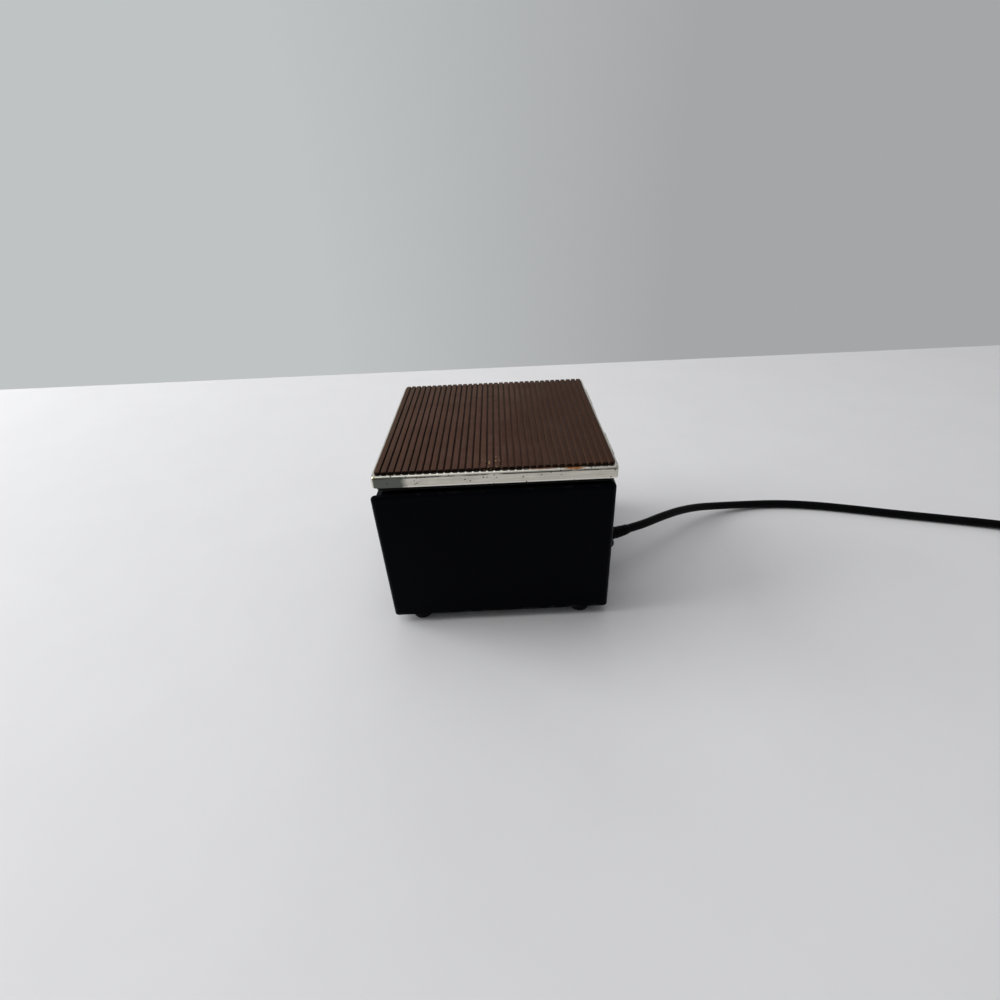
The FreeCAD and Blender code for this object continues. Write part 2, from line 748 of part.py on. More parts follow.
def make_capillary(bulb, thermostat):
    """The thin tube from the end of the sensor bulb, out through the jacket and down to the thermostat."""
    DOC.recompute()
    start = bulb.Shape.BoundBox
    end = thermostat.Shape.BoundBox
    level = start.Center.z
    y_out = start.YMax + size("insulation_thickness")
    x_out = start.Center.x - 2 * size("insulation_thickness")
    x_end = end.XMax - size("thermostat_depth") / 2
    route = [
        (start.Center.x, start.YMax, level),
        (start.Center.x, y_out, level),
        (x_out, y_out, level),
        (x_end, end.Center.y, level - size("bulb_diameter")),
        (x_end, end.Center.y, end.ZMax),
    ]
    subpart(tube("Capillary", route, size("capillary_diameter")), "capillary_tube")


def make_thermostat():
    """The thermostat behind the front wall, its nut and shaft, and the knob that turns the shaft."""
    inside = f"({FRONT_WALL} + case_wall)"
    middle = ("knob_y", CONTROL_Z)
    width = centred("thermostat_size / 2", "knob_y")
    height = centred("thermostat_size / 2", CONTROL_Z)
    case = box("ThermostatCase", (inside, f"{inside} + thermostat_depth"), width, height)
    bushing = cylinder("Bushing", "bushing_diameter", "bushing_length + case_wall", inside, *middle, "-x")
    bore = cylinder(
        "BushingBore",
        "shaft_diameter + 2 * running_gap",
        "shaft_inside + bushing_length + case_wall + fit_gap",
        f"{inside} + shaft_inside",
        *middle,
        "-x",
    )
    thermostat = cut("Thermostat", fuse("ThermostatBlank", [case, bushing]), [bore])
    subpart(thermostat, "thermostat_body")
    hexagon = DOC.addObject("Part::Prism", "NutBlank")
    hexagon.Polygon = 6
    bind(hexagon, Circumradius="nut_flats / 2 / cos(30)", Height="nut_thickness")
    place(hexagon, FRONT_WALL, *middle, "-x")
    bore_size = "bushing_diameter + 2 * running_gap"
    hole = cylinder("NutHole", bore_size, "nut_thickness", FRONT_WALL, *middle, "-x")
    subpart(cut("Nut", hexagon, [hole]), "thermostat_nut")
    length = "shaft_inside - fit_gap + case_wall + knob_standoff + knob_height - knob_cap"
    start = f"{inside} + shaft_inside - fit_gap"
    subpart(cylinder("Shaft", "shaft_diameter", length, start, *middle, "-x"), "thermostat_shaft")
    return thermostat


def make_knob():
    """A skirted knob with a fluted, slightly tapered grip and a pointer groove across its end."""
    skirt = "knob_skirt_diameter / 2"
    recess = "knob_recess_diameter / 2"
    recess_top = "bushing_length - knob_standoff + fit_gap"
    knob = turned(
        "Knob",
        [
            (recess, "0"),
            (skirt, "0"),
            (f"{skirt} - knob_skirt_thickness / 3", "knob_skirt_thickness"),
            ("knob_grip_diameter / 2", "knob_skirt_thickness"),
            ("knob_tip_diameter / 2", "knob_height - knob_edge"),
            ("knob_tip_diameter / 2 - knob_edge", "knob_height"),
            ("0", "knob_height"),
            ("0", "knob_height - knob_cap"),
            ("shaft_diameter / 2", "knob_height - knob_cap"),
            ("shaft_diameter / 2", recess_top),
            (recess, recess_top),
        ],
    )
    DOC.recompute()
    whole = knob.Shape.Volume
    drawn = sketch(knob, "XY_Plane", "FluteOutline", z="knob_height")
    drawn.addGeometry(Part.Circle(Vector(1, 0, 0), Vector(0, 0, 1), 1), False)
    drawn.addConstraint(Sketcher.Constraint("PointOnObject", 0, 3, -1))
    radius = drawn.addConstraint(Sketcher.Constraint("Radius", 0, 1.0))
    reach = drawn.addConstraint(Sketcher.Constraint("DistanceX", -1, 1, 0, 3, 1.0))
    drawn.setExpression(f"Constraints[{radius}]", bound("flute_diameter / 2"))
    drawn.setExpression(f"Constraints[{reach}]", bound("knob_tip_diameter / 2 + flute_diameter / 4"))
    flute = knob.newObject("PartDesign::Pocket", "Flute")
    flute.Profile = drawn
    bind(flute, Length="knob_height - knob_skirt_thickness")
    around = knob.newObject("PartDesign::PolarPattern", "Flutes")
    around.Originals = [flute]
    around.Axis = (drawn, ["N_Axis"])
    around.Angle = 360
    bind(around, Occurrences="flute_count")
    knob.Tip = around
    pointer = sketch(knob, "XY_Plane", "PointerOutline", "knob_tip_diameter / 4", "0", "knob_height")
    rectangle(pointer, "knob_tip_diameter / 2", "pointer_width")
    groove = knob.newObject("PartDesign::Pocket", "Pointer")
    groove.Profile = pointer
    bind(groove, Length="pointer_depth")
    DOC.recompute()
    if not knob.Shape.Volume < whole:
        raise RuntimeError("the knob's flutes cut nothing")
    facing_front = Rotation(Vector(0, 1, 0), -90)
    at_zero = Rotation(Vector(0, 0, 1), size("pointer_rest_angle"))
    place(knob, f"{FRONT_WALL} - knob_standoff", "knob_y", CONTROL_Z, facing_front.multiply(at_zero))
    subpart(knob, "control_knob")


def make_switch():
    """A rocker switch: a framed body let into the front wall, and a rocker on two trunnions, shown at off."""
    inside = f"({FRONT_WALL} + switch_depth)"
    hole_y = "rocker_width / 2 + rocker_gap"
    hole_z = "rocker_length / 2 + rocker_gap"
    bezel = box(
        "SwitchBezel",
        (SWITCH_FRONT, FRONT_WALL),
        centred("switch_bezel_width / 2", "switch_y"),
        centred("switch_bezel_length / 2", CONTROL_Z),
    )
    case = box(
        "SwitchCase",
        (FRONT_WALL, inside),
        centred(f"{hole_y} + switch_wall", "switch_y"),
        centred(f"{hole_z} + switch_wall", CONTROL_Z),
    )
    room = box(
        "SwitchRoom",
        (f"{SWITCH_FRONT} - fit_gap", f"{PIVOT_X} + rocker_length / 2 + rocker_gap"),
        centred(hole_y, "switch_y"),
        centred(hole_z, CONTROL_Z),
    )
    outer = f"({hole_y} + switch_wall)"
    start = f"switch_y - {outer}"
    loose = "trunnion_diameter + 2 * running_gap"
    bore = cylinder("TrunnionBore", loose, f"2 * {outer}", PIVOT_X, start, CONTROL_Z, "+y")
    subpart(cut("Switch", fuse("SwitchBlank", [case, bezel]), [room, bore]), "switch_frame")
    start = "switch_y - rocker_width / 2"
    disc = cylinder("RockerDisc", "rocker_length", "rocker_width", PIVOT_X, start, CONTROL_Z, "+y")
    away = size("rocker_length")
    faces = []
    for number, turn in enumerate((0, 2 * size("rocker_tilt"))):
        lean = FreeCAD.Placement(Vector(), Rotation(Vector(0, 1, 0), -turn))
        face = DOC.addObject("Part::Box", f"RockerFace{number}")
        bind(face, Length="rocker_length", Width="2 * rocker_width", Height="2 * rocker_length")
        corner = lean.multVec(Vector(-size("rocker_face") - away, 0, -away))
        face.Placement = FreeCAD.Placement(corner, lean.Rotation)
        at = (PIVOT_X, "switch_y - rocker_width", CONTROL_Z)
        for axis, offset, text in zip("xyz", corner, at):
            face.setExpression(f"Placement.Base.{axis}", bound(f"{text} + ({offset})"))
        faces.append(face)
    valley = DOC.addObject("Part::MultiCommon", "RockerValley")
    valley.Shapes = faces
    back = box(
        "RockerBack",
        (f"{PIVOT_X} + rocker_back", f"{PIVOT_X} + rocker_length"),
        centred("rocker_width", "switch_y"),
        centred("rocker_length", CONTROL_Z),
    )
    paddle = cut("RockerPaddle", disc, [valley, back])
    start = f"switch_y - {outer} + rocker_gap"
    length = f"2 * ({outer} - rocker_gap)"
    pins = cylinder("Trunnions", "trunnion_diameter", length, PIVOT_X, start, CONTROL_Z, "+y")
    subpart(fuse("Rocker", [paddle, pins]), "switch_rocker")


def make_lamp():
    """The pilot lamp: a flanged barrel through the front wall, a domed lens and a nut behind the wall."""
    at = ("switch_y", LAMP_Z)
    flange = cylinder("LampFlange", "lamp_flange_diameter", "lamp_flange_thickness", FRONT_WALL, *at, "-x")
    barrel = cylinder("LampBarrel", "lamp_diameter", "lamp_length", FRONT_WALL, *at, "+x")
    subpart(fuse("Lamp", [flange, barrel]), "lamp_body")
    lens = turned(
        "Lens",
        [
            ("0", "0"),
            ("lens_diameter / 2", "0"),
            ("lens_diameter / 2", "lens_height * 0.45"),
            ("lens_diameter * 0.42", "lens_height * 0.75"),
            ("lens_diameter * 0.25", "lens_height * 0.95"),
            ("0", "lens_height"),
        ],
    )
    facing_front = Rotation(Vector(0, 1, 0), -90)
    place(lens, f"{FRONT_WALL} - lamp_flange_thickness", *at, facing_front)
    subpart(lens, "lamp_lens")
    inside = f"({FRONT_WALL} + case_wall)"
    ring = cylinder("LampNutBlank", "lamp_nut_diameter", "lamp_nut_thickness", inside, *at, "+x")
    hole = cylinder("LampNutHole", "lamp_diameter + 2 * running_gap", "lamp_nut_thickness", inside, *at, "+x")
    subpart(cut("LampNut", ring, [hole]), "lamp_nut")


def relief_axis(wall, share):
    """A point on the bent strain relief's middle line, and the line's direction there, from wall to tip."""
    radius = size("relief_bend_radius")
    turn = share * size("relief_length") / radius
    roll = math.radians(size("relief_bend_roll"))
    sideways = Vector(0, math.cos(roll), -math.sin(roll))
    point = wall + Vector(radius * math.sin(turn), 0, 0) + sideways * radius * (1 - math.cos(turn))
    return point, Vector(math.cos(turn), 0, 0) + sideways * math.sin(turn)


def make_relief():
    """The strain relief: a grommet in the rear wall and a tapered sleeve that the lead pulls sideways."""
    at = ("exit_y", EXIT_Z)
    disc = ("relief_collar_diameter", "relief_collar_thickness")
    collar = cylinder("ReliefCollar", *disc, REAR_WALL, *at, "+x")
    neck = cylinder("ReliefNeck", "relief_neck_diameter", "case_wall", f"{REAR_WALL} - case_wall", *at, "+x")
    inside = f"({REAR_WALL} - case_wall - relief_collar_thickness)"
    flange = cylinder("ReliefFlange", *disc, inside, *at, "+x")
    DOC.recompute()
    wall = collar.Placement.Base
    steps = 4
    rings = []
    for step in range(steps + 1):
        share = step / steps
        point, along = relief_axis(wall, share)
        ring = DOC.addObject("Part::Circle", f"ReliefRing{step}")
        bind(ring, Radius=f"(relief_root_diameter * {1 - share} + relief_tip_diameter * {share}) / 2")
        ring.Placement = FreeCAD.Placement(point, Rotation(Vector(0, 0, 1), along))
        rings.append(ring)
    sleeve = DOC.addObject("Part::Loft", "ReliefSleeve")
    sleeve.Sections = rings
    sleeve.Solid = True
    subpart(fuse("Relief", [flange, neck, collar, sleeve]), "strain_relief")
    return flange.Placement.Base, relief_axis(wall, 1)[0]


def make_cord(inner_end, tip):
    """The mains lead: inside to its terminals, outside along the bench to its coil, tie and plug."""
    middle_x = f"({REAR_WALL} - case_wall - relief_collar_thickness - terminal_offset)"
    floor = "(foot_height + chassis_thickness)"
    terminal = box(
        "Terminal",
        centred("terminal_length / 2", middle_x),
        centred("terminal_width / 2", "exit_y"),
        (floor, f"{floor} + terminal_height"),
    )
    subpart(terminal, "terminal_block")
    DOC.recompute()
    block = terminal.Shape.BoundBox
    diameter = size("cord_diameter")
    above = Vector(block.Center.x, inner_end.y, inner_end.z)
    inner = [tuple(inner_end), tuple(above), (above.x, above.y, block.ZMax)]
    subpart(tube("InnerCord", inner, diameter), "inner_cord")
    heading = math.radians(COIL_HEADING)
    forward = Vector(math.cos(heading), math.sin(heading), 0)
    outer_turn = size("coil_radius") + diameter * (size("coil_turns_wide") - 1) / 2
    coil = Vector(size("coil_x"), size("coil_y"), size("coil_lift") + diameter / 2)
    touch = coil + Vector(-forward.y, forward.x, 0) * outer_turn
    end = touch - forward * size("tail_lead")
    route = [tuple(tip), *CORD_ROUTE, tuple(end)]
    subpart(tube("Cord", route, diameter), "power_cord")
    make_coil()
    make_plug()


def make_coil():
    """The ring that the coiled lead fills, the tie round it and the short end that leads to the plug."""
    ring = DOC.addObject("PartDesign::Body", "CoilRing")
    drawn = sketch(ring, "XZ_Plane", "CoilSection", "coil_radius", f"coil_lift + {COIL_HEIGHT} / 2")
    rectangle(drawn, COIL_WIDTH, COIL_HEIGHT)
    spun = ring.newObject("PartDesign::Revolution", "CoilTurned")
    spun.Profile = drawn
    spun.ReferenceAxis = (next(f for f in ring.Origin.OriginFeatures if f.Role == "Z_Axis"), [""])
    spun.Angle = 360
    fillet(ring, "CoilEdges", every_edge, "cord_diameter / 3", "PartDesign::Chamfer")
    subpart(place(ring, "coil_x", "coil_y"), "cord_coil")
    gap = "fit_gap + fit_gap"
    half = f"{COIL_WIDTH} / 2 + {gap}"
    low = "coil_lift - fit_gap"
    high = f"coil_lift + {COIL_HEIGHT} + fit_gap"
    width = centred("tie_width / 2")
    band = box(
        "TieBand",
        centred(f"{half} + tie_thickness", "coil_radius"),
        width,
        (f"{low} - tie_thickness", f"{high} + tie_thickness"),
    )
    hole = box("TieHole", centred(half, "coil_radius"), centred("tie_width"), (low, high))
    tie = cut("Tie", band, [hole])
    place(tie, "coil_x", "coil_y", "0", Rotation(Vector(0, 0, 1), size("tie_angle")))
    subpart(tie, "cord_tie")
    start = "coil_y - tail_lead"
    subpart(cylinder("Tail", "cord_diameter", "tail_length", TAIL_X, start, TAIL_Z, "-y"), "cord_tail")


def make_plug():
    """A moulded three-pin plug that lies on its flat side beside the coil."""
    start = "plug_neck_length"
    body = DOC.addObject("PartDesign::Body", "PlugGrip")
    drawn = sketch(body, "XY_Plane", "PlugFace", z=f"{start} + plug_length")
    rectangle(drawn, "plug_width", "plug_thickness")
    grip = body.newObject("PartDesign::Pad", "PlugTaper")
    grip.Profile = drawn
    grip.Reversed = True
    bind(grip, Length="plug_length", TaperAngle="-atan(plug_taper / plug_length)")
    fillet(body, "PlugEdges", every_edge, "plug_edge", "PartDesign::Chamfer")
    neck = DOC.addObject("Part::Cone", "PlugNeck")
    bind(neck, Radius1="cord_diameter / 2 + fit_gap", Radius2="plug_neck_diameter / 2")
    bind(neck, Height="plug_neck_length + plug_edge")
    place(neck)
    turn = Rotation(Vector(-1, 0, 0), Vector(0, 0, 1), Vector(0, -1, 0), "ZXY")
    at = (TAIL_X, "coil_y - tail_lead - tail_length", TAIL_Z)
    plug = fuse("Plug", [body, neck])
    subpart(place(plug, *at, turn), "plug_body")
    face = f"({start} + plug_length)"
    blades = []
    for number, way in enumerate((-1, 1)):
        blade = box(
            f"Blade{number}",
            centred("blade_width / 2", "pin_shift"),
            centred("blade_thickness / 2", f"{way} * blade_spacing / 2"),
            (face, f"{face} + blade_length"),
        )
        blades.append(blade)
    earth_x = "pin_shift - earth_pin_offset"
    earth = cylinder("EarthPin", "earth_pin_diameter", "earth_pin_length", earth_x, "0", face)
    subpart(place(group("PlugPins", [*blades, earth]), *at, turn), "plug_pins")


def knuckle(name, low, high):
    """One barrel section of a hinge about Y, at the hinge axis, from a low to a high expression on Y."""
    return cylinder(name, "2 * hinge_barrel_radius", f"({high}) - ({low})", "0", low, "0", "+y")


def rivets(name, side, way, z):
    """The two rivets of one hinge leaf, about the hinge axis, with their heads outside and tails inside."""
    pair = []
    face = "-hinge_barrel_radius + hinge_leaf_thickness"
    wall = "lid_sheet" if name == "Lid" else "case_wall"
    for number, offset in enumerate((-1, 1)):
        y = f"{way} * {HINGE_Y} + {offset} * rivet_spacing / 2"
        label = f"{name}Rivet{side}{number}"
        head = cylinder(f"{label}Head", "rivet_head_diameter", "rivet_head_height", face, y, z, "+x")
        grip = f"hinge_leaf_thickness + {wall}"
        shank = cylinder(f"{label}Shank", "rivet_diameter", grip, face, y, z, "-x")
        tail_x = f"-hinge_barrel_radius - {wall}"
        tail = cylinder(f"{label}Tail", "rivet_head_diameter", "rivet_tail_height", tail_x, y, z, "-x")
        pair.append(fuse(label, [head, shank, tail]))
    return pair


def make_hinges():
    """Two butt hinges on the rear wall: a case leaf, a lid leaf and a pin each, riveted on."""
    case_rivets = []
    lid_rivets = []
    inner = "-hinge_barrel_radius"
    leaf = (inner, f"{inner} + hinge_leaf_thickness")
    clear = "hinge_barrel_radius + hinge_relief"
    third = "hinge_length / 6 - fit_gap / 2"
    bore = "hinge_pin_diameter + 2 * running_gap"
    for side, way in NEAR_FAR:
        middle = f"({way} * {HINGE_Y})"
        low = f"({middle} - hinge_length / 2)"
        high = f"({middle} + hinge_length / 2)"
        inner_end = "(hinge_length / 6 + fit_gap / 2)"
        spans = ((low, f"{middle} - {inner_end}"), (f"{middle} + {inner_end}", high))
        pieces = [box(f"CaseLeaf{side}", leaf, (low, high), ("-hinge_leaf_drop", f"-({clear})"))]
        for number, span in enumerate(spans):
            pieces.append(box(f"CaseLeafEar{side}{number}", leaf, span, (f"-({clear})", "0")))
            pieces.append(knuckle(f"CaseKnuckle{side}{number}", *span))
        pair = rivets("Case", side, way, "-rivet_case_drop")
        hole = cylinder(f"CasePinBore{side}", bore, "hinge_length", "0", low, "0", "+y")
        tools = [hole, *leaf_holes(f"Case{side}", way, "-rivet_case_drop")]
        case_leaf = cut(f"CaseHinge{side}", fuse(f"CaseHingeBlank{side}", pieces), tools)
        subpart(place(case_leaf, HINGE_X, "0", HINGE_Z), f"hinge_{side}_case_leaf")
        case_rivets += [place(rivet, HINGE_X, "0", HINGE_Z) for rivet in pair]
        span = centred(third, middle)
        pieces = [
            box(f"LidLeaf{side}", leaf, (low, high), (clear, "hinge_lid_leaf_rise")),
            box(f"LidLeafEar{side}", leaf, span, ("0", clear)),
            knuckle(f"LidKnuckle{side}", *span),
        ]
        hole = cylinder(f"LidPinBore{side}", bore, "hinge_length", "0", low, "0", "+y")
        tools = [hole, *leaf_holes(f"Lid{side}", way, "rivet_lid_rise")]
        lid_leaf = cut(f"LidHinge{side}", fuse(f"LidHingeBlank{side}", pieces), tools)
        subpart(on_hinge(lid_leaf), f"hinge_{side}_lid_leaf")
        lid_rivets += rivets("Lid", side, way, "rivet_lid_rise")
        pin = cylinder(f"HingePin{side}", "hinge_pin_diameter", "hinge_length", HINGE_X, low, HINGE_Z, "+y")
        subpart(pin, f"hinge_{side}_pin")
    subpart(group("CaseRivets", case_rivets), "hinge_case_rivets")
    subpart(on_hinge(group("LidRivets", lid_rivets)), "hinge_lid_rivets")


def leaf_holes(name, way, z):
    """Tools for the two rivet holes of one leaf, about the hinge axis."""
    holes = []
    for number, offset in enumerate((-1, 1)):
        y = f"{way} * {HINGE_Y} + {offset} * rivet_spacing / 2"
        x = "-hinge_barrel_radius - 2 * hinge_leaf_thickness"
        length = "4 * hinge_leaf_thickness"
        hole = "rivet_diameter + 2 * running_gap"
        holes.append(cylinder(f"LeafHole{name}{number}", hole, length, x, y, z, "+x"))
    return holes


def lid_screw_places():
    for x_way in (-1, 1):
        for y_way in (-1, 1):
            yield f"{LID_X} + {x_way} * lid_screw_spacing_x / 2", f"{y_way} * lid_screw_spacing_y / 2"


def make_lid():
    """The lid, about the hinge axis: a folded steel pan, its board and screws, and the ribbed mat."""
    blank = shell(
        "LidShell",
        (LID_X, "lid_length"),
        ("0", "lid_depth"),
        (LID_BOTTOM, LID_TOP),
        "lid_corner_radius",
        "lid_edge_radius",
        "lid_sheet",
    )
    board_top = f"({LID_TOP} - lid_sheet)"
    board = plate(
        "Board",
        (LID_X, "lid_length - 2 * (lid_sheet + board_gap)"),
        ("0", "lid_depth - 2 * (lid_sheet + board_gap)"),
        (BOARD_BOTTOM, board_top),
        "board_corner_radius",
    )
    tray_holes = []
    board_holes = []
    screws = []
    hole = "lid_screw_diameter + 2 * running_gap"
    for number, (x, y) in enumerate(lid_screw_places()):
        below = f"{board_top} - lid_sheet"
        tray_holes.append(cylinder(f"TrayHole{number}", hole, "3 * lid_sheet", x, y, below))
        board_holes.append(cylinder(f"BoardHole{number}", hole, "2 * lid_rim_height", x, y, BOARD_BOTTOM))
        sink = "lid_screw_head_diameter + 2 * fit_gap"
        board_holes.append(cylinder(f"BoardSink{number}", sink, "lid_screw_sink", x, y, BOARD_BOTTOM))
        seat = f"({BOARD_BOTTOM} + lid_screw_sink)"
        head = cylinder(
            f"LidScrewHead{number}",
            "lid_screw_head_diameter",
            "lid_screw_head_height",
            x,
            y,
            f"{seat} - lid_screw_head_height",
        )
        shank = cylinder(f"LidScrewShank{number}", "lid_screw_diameter", f"{LID_TOP} - {seat}", x, y, seat)
        screws.append(fuse(f"LidScrew{number}", [head, shank]))
    for side, way in NEAR_FAR:
        tray_holes += leaf_holes(f"Tray{side}", way, "rivet_lid_rise")
    subpart(on_hinge(cut("LidTray", blank, tray_holes)), "lid_tray")
    subpart(on_hinge(cut("LidBoard", board, board_holes)), "lid_board")
    subpart(on_hinge(group("LidScrews", screws)), "lid_screws")
    make_mat()


def make_mat():
    """The rubber mat: flat-topped ribs from near side to far side, parted by narrow grooves."""
    width = "(lid_length - 2 * mat_inset_side)"
    mat = plate(
        "Mat",
        (LID_X, width),
        ("0", "lid_depth - 2 * mat_inset_end"),
        (LID_TOP, f"{LID_TOP} + mat_base + rib_height"),
        "mat_corner_radius",
    )
    DOC.recompute()
    whole = mat.Shape.Volume
    pitch = f"{width} / rib_count"
    first = f"{LID_X} - {width} / 2 + {pitch}"
    drawn = sketch(mat, "XY_Plane", "GrooveOutline", first, "0", f"{LID_TOP} + mat_base + rib_height")
    rectangle(drawn, "groove_width", "lid_depth")
    groove = mat.newObject("PartDesign::Pocket", "Groove")
    groove.Profile = drawn
    bind(groove, Length="rib_height")
    row = mat.newObject("PartDesign::LinearPattern", "Grooves")
    row.Originals = [groove]
    row.Direction = (drawn, ["H_Axis"])
    bind(row, Length=f"{pitch} * (rib_count - 2)", Occurrences="rib_count - 1")
    mat.Tip = row
    DOC.recompute()
    if not mat.Shape.Volume < 0.95 * whole:
        raise RuntimeError("the mat's grooves cut nothing")
    subpart(on_hinge(mat), "lid_mat")


def check():
    """Stop if anything in the document failed or is empty."""
    DOC.recompute()
    for thing in DOC.Objects:
        if "Invalid" in thing.State or "Error" in thing.State:
            raise RuntimeError(f"{thing.Label} failed: {thing.State}")
        dressed = thing.TypeId in ("PartDesign::Fillet", "PartDesign::Chamfer")
        if dressed and thing.Shape.Volume < 0.8 * thing.Base[0].Shape.Volume:
            raise RuntimeError(f"{thing.Label} took away more than its edges")
    for thing in SUBPARTS:
        if thing.Shape.isNull() or not thing.Shape.isValid() or not thing.Shape.Solids:
            raise RuntimeError(f"{thing.Label} has no sound shape")


def main():
    make_case()
    make_chassis()
    make_block_pan()
    make_blocks()
    bulb = make_heating()
    thermostat = make_thermostat()
    make_capillary(bulb, thermostat)
    make_knob()
    make_switch()
    make_lamp()
    inner_end, tip = make_relief()
    make_cord(inner_end, tip)
    make_hinges()
    make_lid()
    check()
    os.makedirs("parts", exist_ok=True)
    for thing in SUBPARTS:
        thing.Shape.exportStep(f"parts/{thing.Label}.step")
        print(thing.Label, len(thing.Shape.Solids), "solids")


main()
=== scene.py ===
import json
import math

import bmesh
import bpy
from bpy.props import FloatProperty, FloatVectorProperty, IntProperty, PointerProperty
from mathutils import Matrix, Vector
from mathutils.bvhtree import BVHTree

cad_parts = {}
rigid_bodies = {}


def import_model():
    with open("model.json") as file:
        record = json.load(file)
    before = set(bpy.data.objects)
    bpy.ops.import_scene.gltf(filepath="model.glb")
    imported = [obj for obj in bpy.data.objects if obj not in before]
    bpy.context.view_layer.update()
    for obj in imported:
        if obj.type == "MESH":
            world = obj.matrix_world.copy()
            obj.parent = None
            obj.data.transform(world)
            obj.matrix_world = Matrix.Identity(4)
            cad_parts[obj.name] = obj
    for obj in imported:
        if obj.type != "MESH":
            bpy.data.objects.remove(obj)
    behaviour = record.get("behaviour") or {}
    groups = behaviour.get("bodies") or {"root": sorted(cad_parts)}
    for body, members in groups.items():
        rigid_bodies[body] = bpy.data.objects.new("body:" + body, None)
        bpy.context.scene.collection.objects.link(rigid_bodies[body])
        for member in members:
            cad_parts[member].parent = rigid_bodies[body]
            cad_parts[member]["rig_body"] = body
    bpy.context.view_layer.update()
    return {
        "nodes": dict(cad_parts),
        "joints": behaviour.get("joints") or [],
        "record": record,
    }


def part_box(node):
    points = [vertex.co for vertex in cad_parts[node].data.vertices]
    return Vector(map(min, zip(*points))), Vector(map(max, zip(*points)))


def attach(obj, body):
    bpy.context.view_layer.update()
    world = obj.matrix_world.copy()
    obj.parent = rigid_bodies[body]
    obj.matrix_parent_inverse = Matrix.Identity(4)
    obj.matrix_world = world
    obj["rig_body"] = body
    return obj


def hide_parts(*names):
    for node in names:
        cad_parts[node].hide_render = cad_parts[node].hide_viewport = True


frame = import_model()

bl_info = {
    "name": "Dry block heater",
    "version": (1, 0, 0),
    "blender": (4, 5, 0),
    "location": "View3D > Sidebar > Heater",
    "description": "Dresses the packed dry block heater with its finished pieces and materials",
    "category": "Object",
}

MM = 0.001
JOINTS = {joint["name"]: joint for joint in frame["joints"]}
HINGE = Vector(JOINTS["lid_hinge"]["pos_m"])
KNOB = Vector(JOINTS["knob_turn"]["pos_m"])
ROCKER = Vector(JOINTS["rocker_tip"]["pos_m"])
OUT = Vector((1, 0, 0))
UP = Vector((0, 0, 1))

# The lid lies a little out of level. Its pieces are placed from the hinge's axis, in millimetres.
LID_REST = math.radians(0.4)
ON_LID = Matrix.Translation(HINGE) @ Matrix.Rotation(LID_REST, 4, "Y")
LID_MIDDLE = -89.5
MAT_SEAT = 11.3
LID_SCREW_SEAT = 2.3
LID_SCREW_ALONG = 75
LID_SCREW_ASIDE = 65

# The front panel faces -X: text reads along -Y, with +Z up. The scale's 0 is at the lower left of the knob.
ON_PANEL = Matrix(((0, 0, -1, 0), (-1, 0, 0, 0), (0, 1, 0, 0), (0, 0, 0, 1)))
SCALE_ZERO = 225
TICK_RADIUS = 23.2

# The camera, fitted to the photograph: its place in metres, its axes, and its lens in millimetres.
CAMERA_SPOT = (0.01711, -0.39761, 0.31705)
CAMERA_RIGHT = (0.99862233, -0.01468778, -0.05037567)
CAMERA_UP = (0.05029997, 0.54137363, 0.83927618)
CAMERA_BACK = (0.01494496, -0.84065383, 0.54136659)
CAMERA_LENS = 18.373
CAMERA_SENSOR = 36.0

# Each lamp's place, the point that it faces, its width in metres and its power in watts.
LAMPS = {
    "key": ((-2.6, 0.3, 1.6), (0.0, 0.0, 0.05), 2.0, 62.0),
    "back": ((0.0, 2.6, 1.65), (0.0, 0.0, 0.14), 1.2, 8.0),
    "top": ((-0.55, 0.35, 2.2), (0.0, 0.0, 0.05), 2.0, 10.5),
}
# The light from all round: how much of it comes from each way, and what is taken off it everywhere.
SKY_LEAN = (-0.08, 0.16, 0.63)
SKY_LOSS = -0.06
FLOOR_CORNERS = ((-3, -3, 0), (4, -3, 0), (4, 0.445, 0), (-3, 0.654, 0))

# The mains lead's route, as in the part's source, from the tip of the strain relief to the coil. Metres and degrees.
RELIEF_WALL = Vector((0.09585, -0.0300, 0.0378))
RELIEF_BEND = 0.060
RELIEF_LENGTH = 0.030
RELIEF_ROLL = math.radians(2)
LEAD_ROUTE = [
    (0.1420, -0.0134, 0.0353),
    (0.1620, 0.0018, 0.0314),
    (0.1860, 0.0195, 0.0254),
    (0.2110, 0.0360, 0.0172),
    (0.2380, 0.0480, 0.0092),
    (0.2690, 0.0545, 0.0047),
    (0.3030, 0.0545, 0.0041),
    (0.3370, 0.0485, 0.0041),
    (0.3710, 0.0385, 0.0041),
    (0.4050, 0.0270, 0.0041),
    (0.4390, 0.0165, 0.0041),
    (0.4710, 0.0065, 0.0043),
    (0.4990, -0.0038, 0.0050),
]
COIL = Vector((0.522, -0.068, 0.0))
COIL_START = 63.0
COIL_TURN = 1863.0
COIL_LEVELS = (0.0053, 0.0131)
COIL_RADII = (0.0468, 0.0390, 0.0312)
PLUG_START = Vector((0.5688, -0.118, 0.0131))


def linear(code):
    """An sRGB hex colour as linear red, green and blue."""
    channels = [int(code[i:i + 2], 16) / 255 for i in (1, 3, 5)]
    return tuple(c / 12.92 if c <= 0.04045 else ((c + 0.055) / 1.055) ** 2.4 for c in channels)


def length_property(name, description, millimetres):
    return FloatProperty(name=name, description=description, default=millimetres * MM, min=0.0, unit="LENGTH")


def colour_property(name, description, code):
    return FloatVectorProperty(
        name=name, description=description, default=linear(code), size=3, min=0.0, max=1.0, subtype="COLOR"
    )


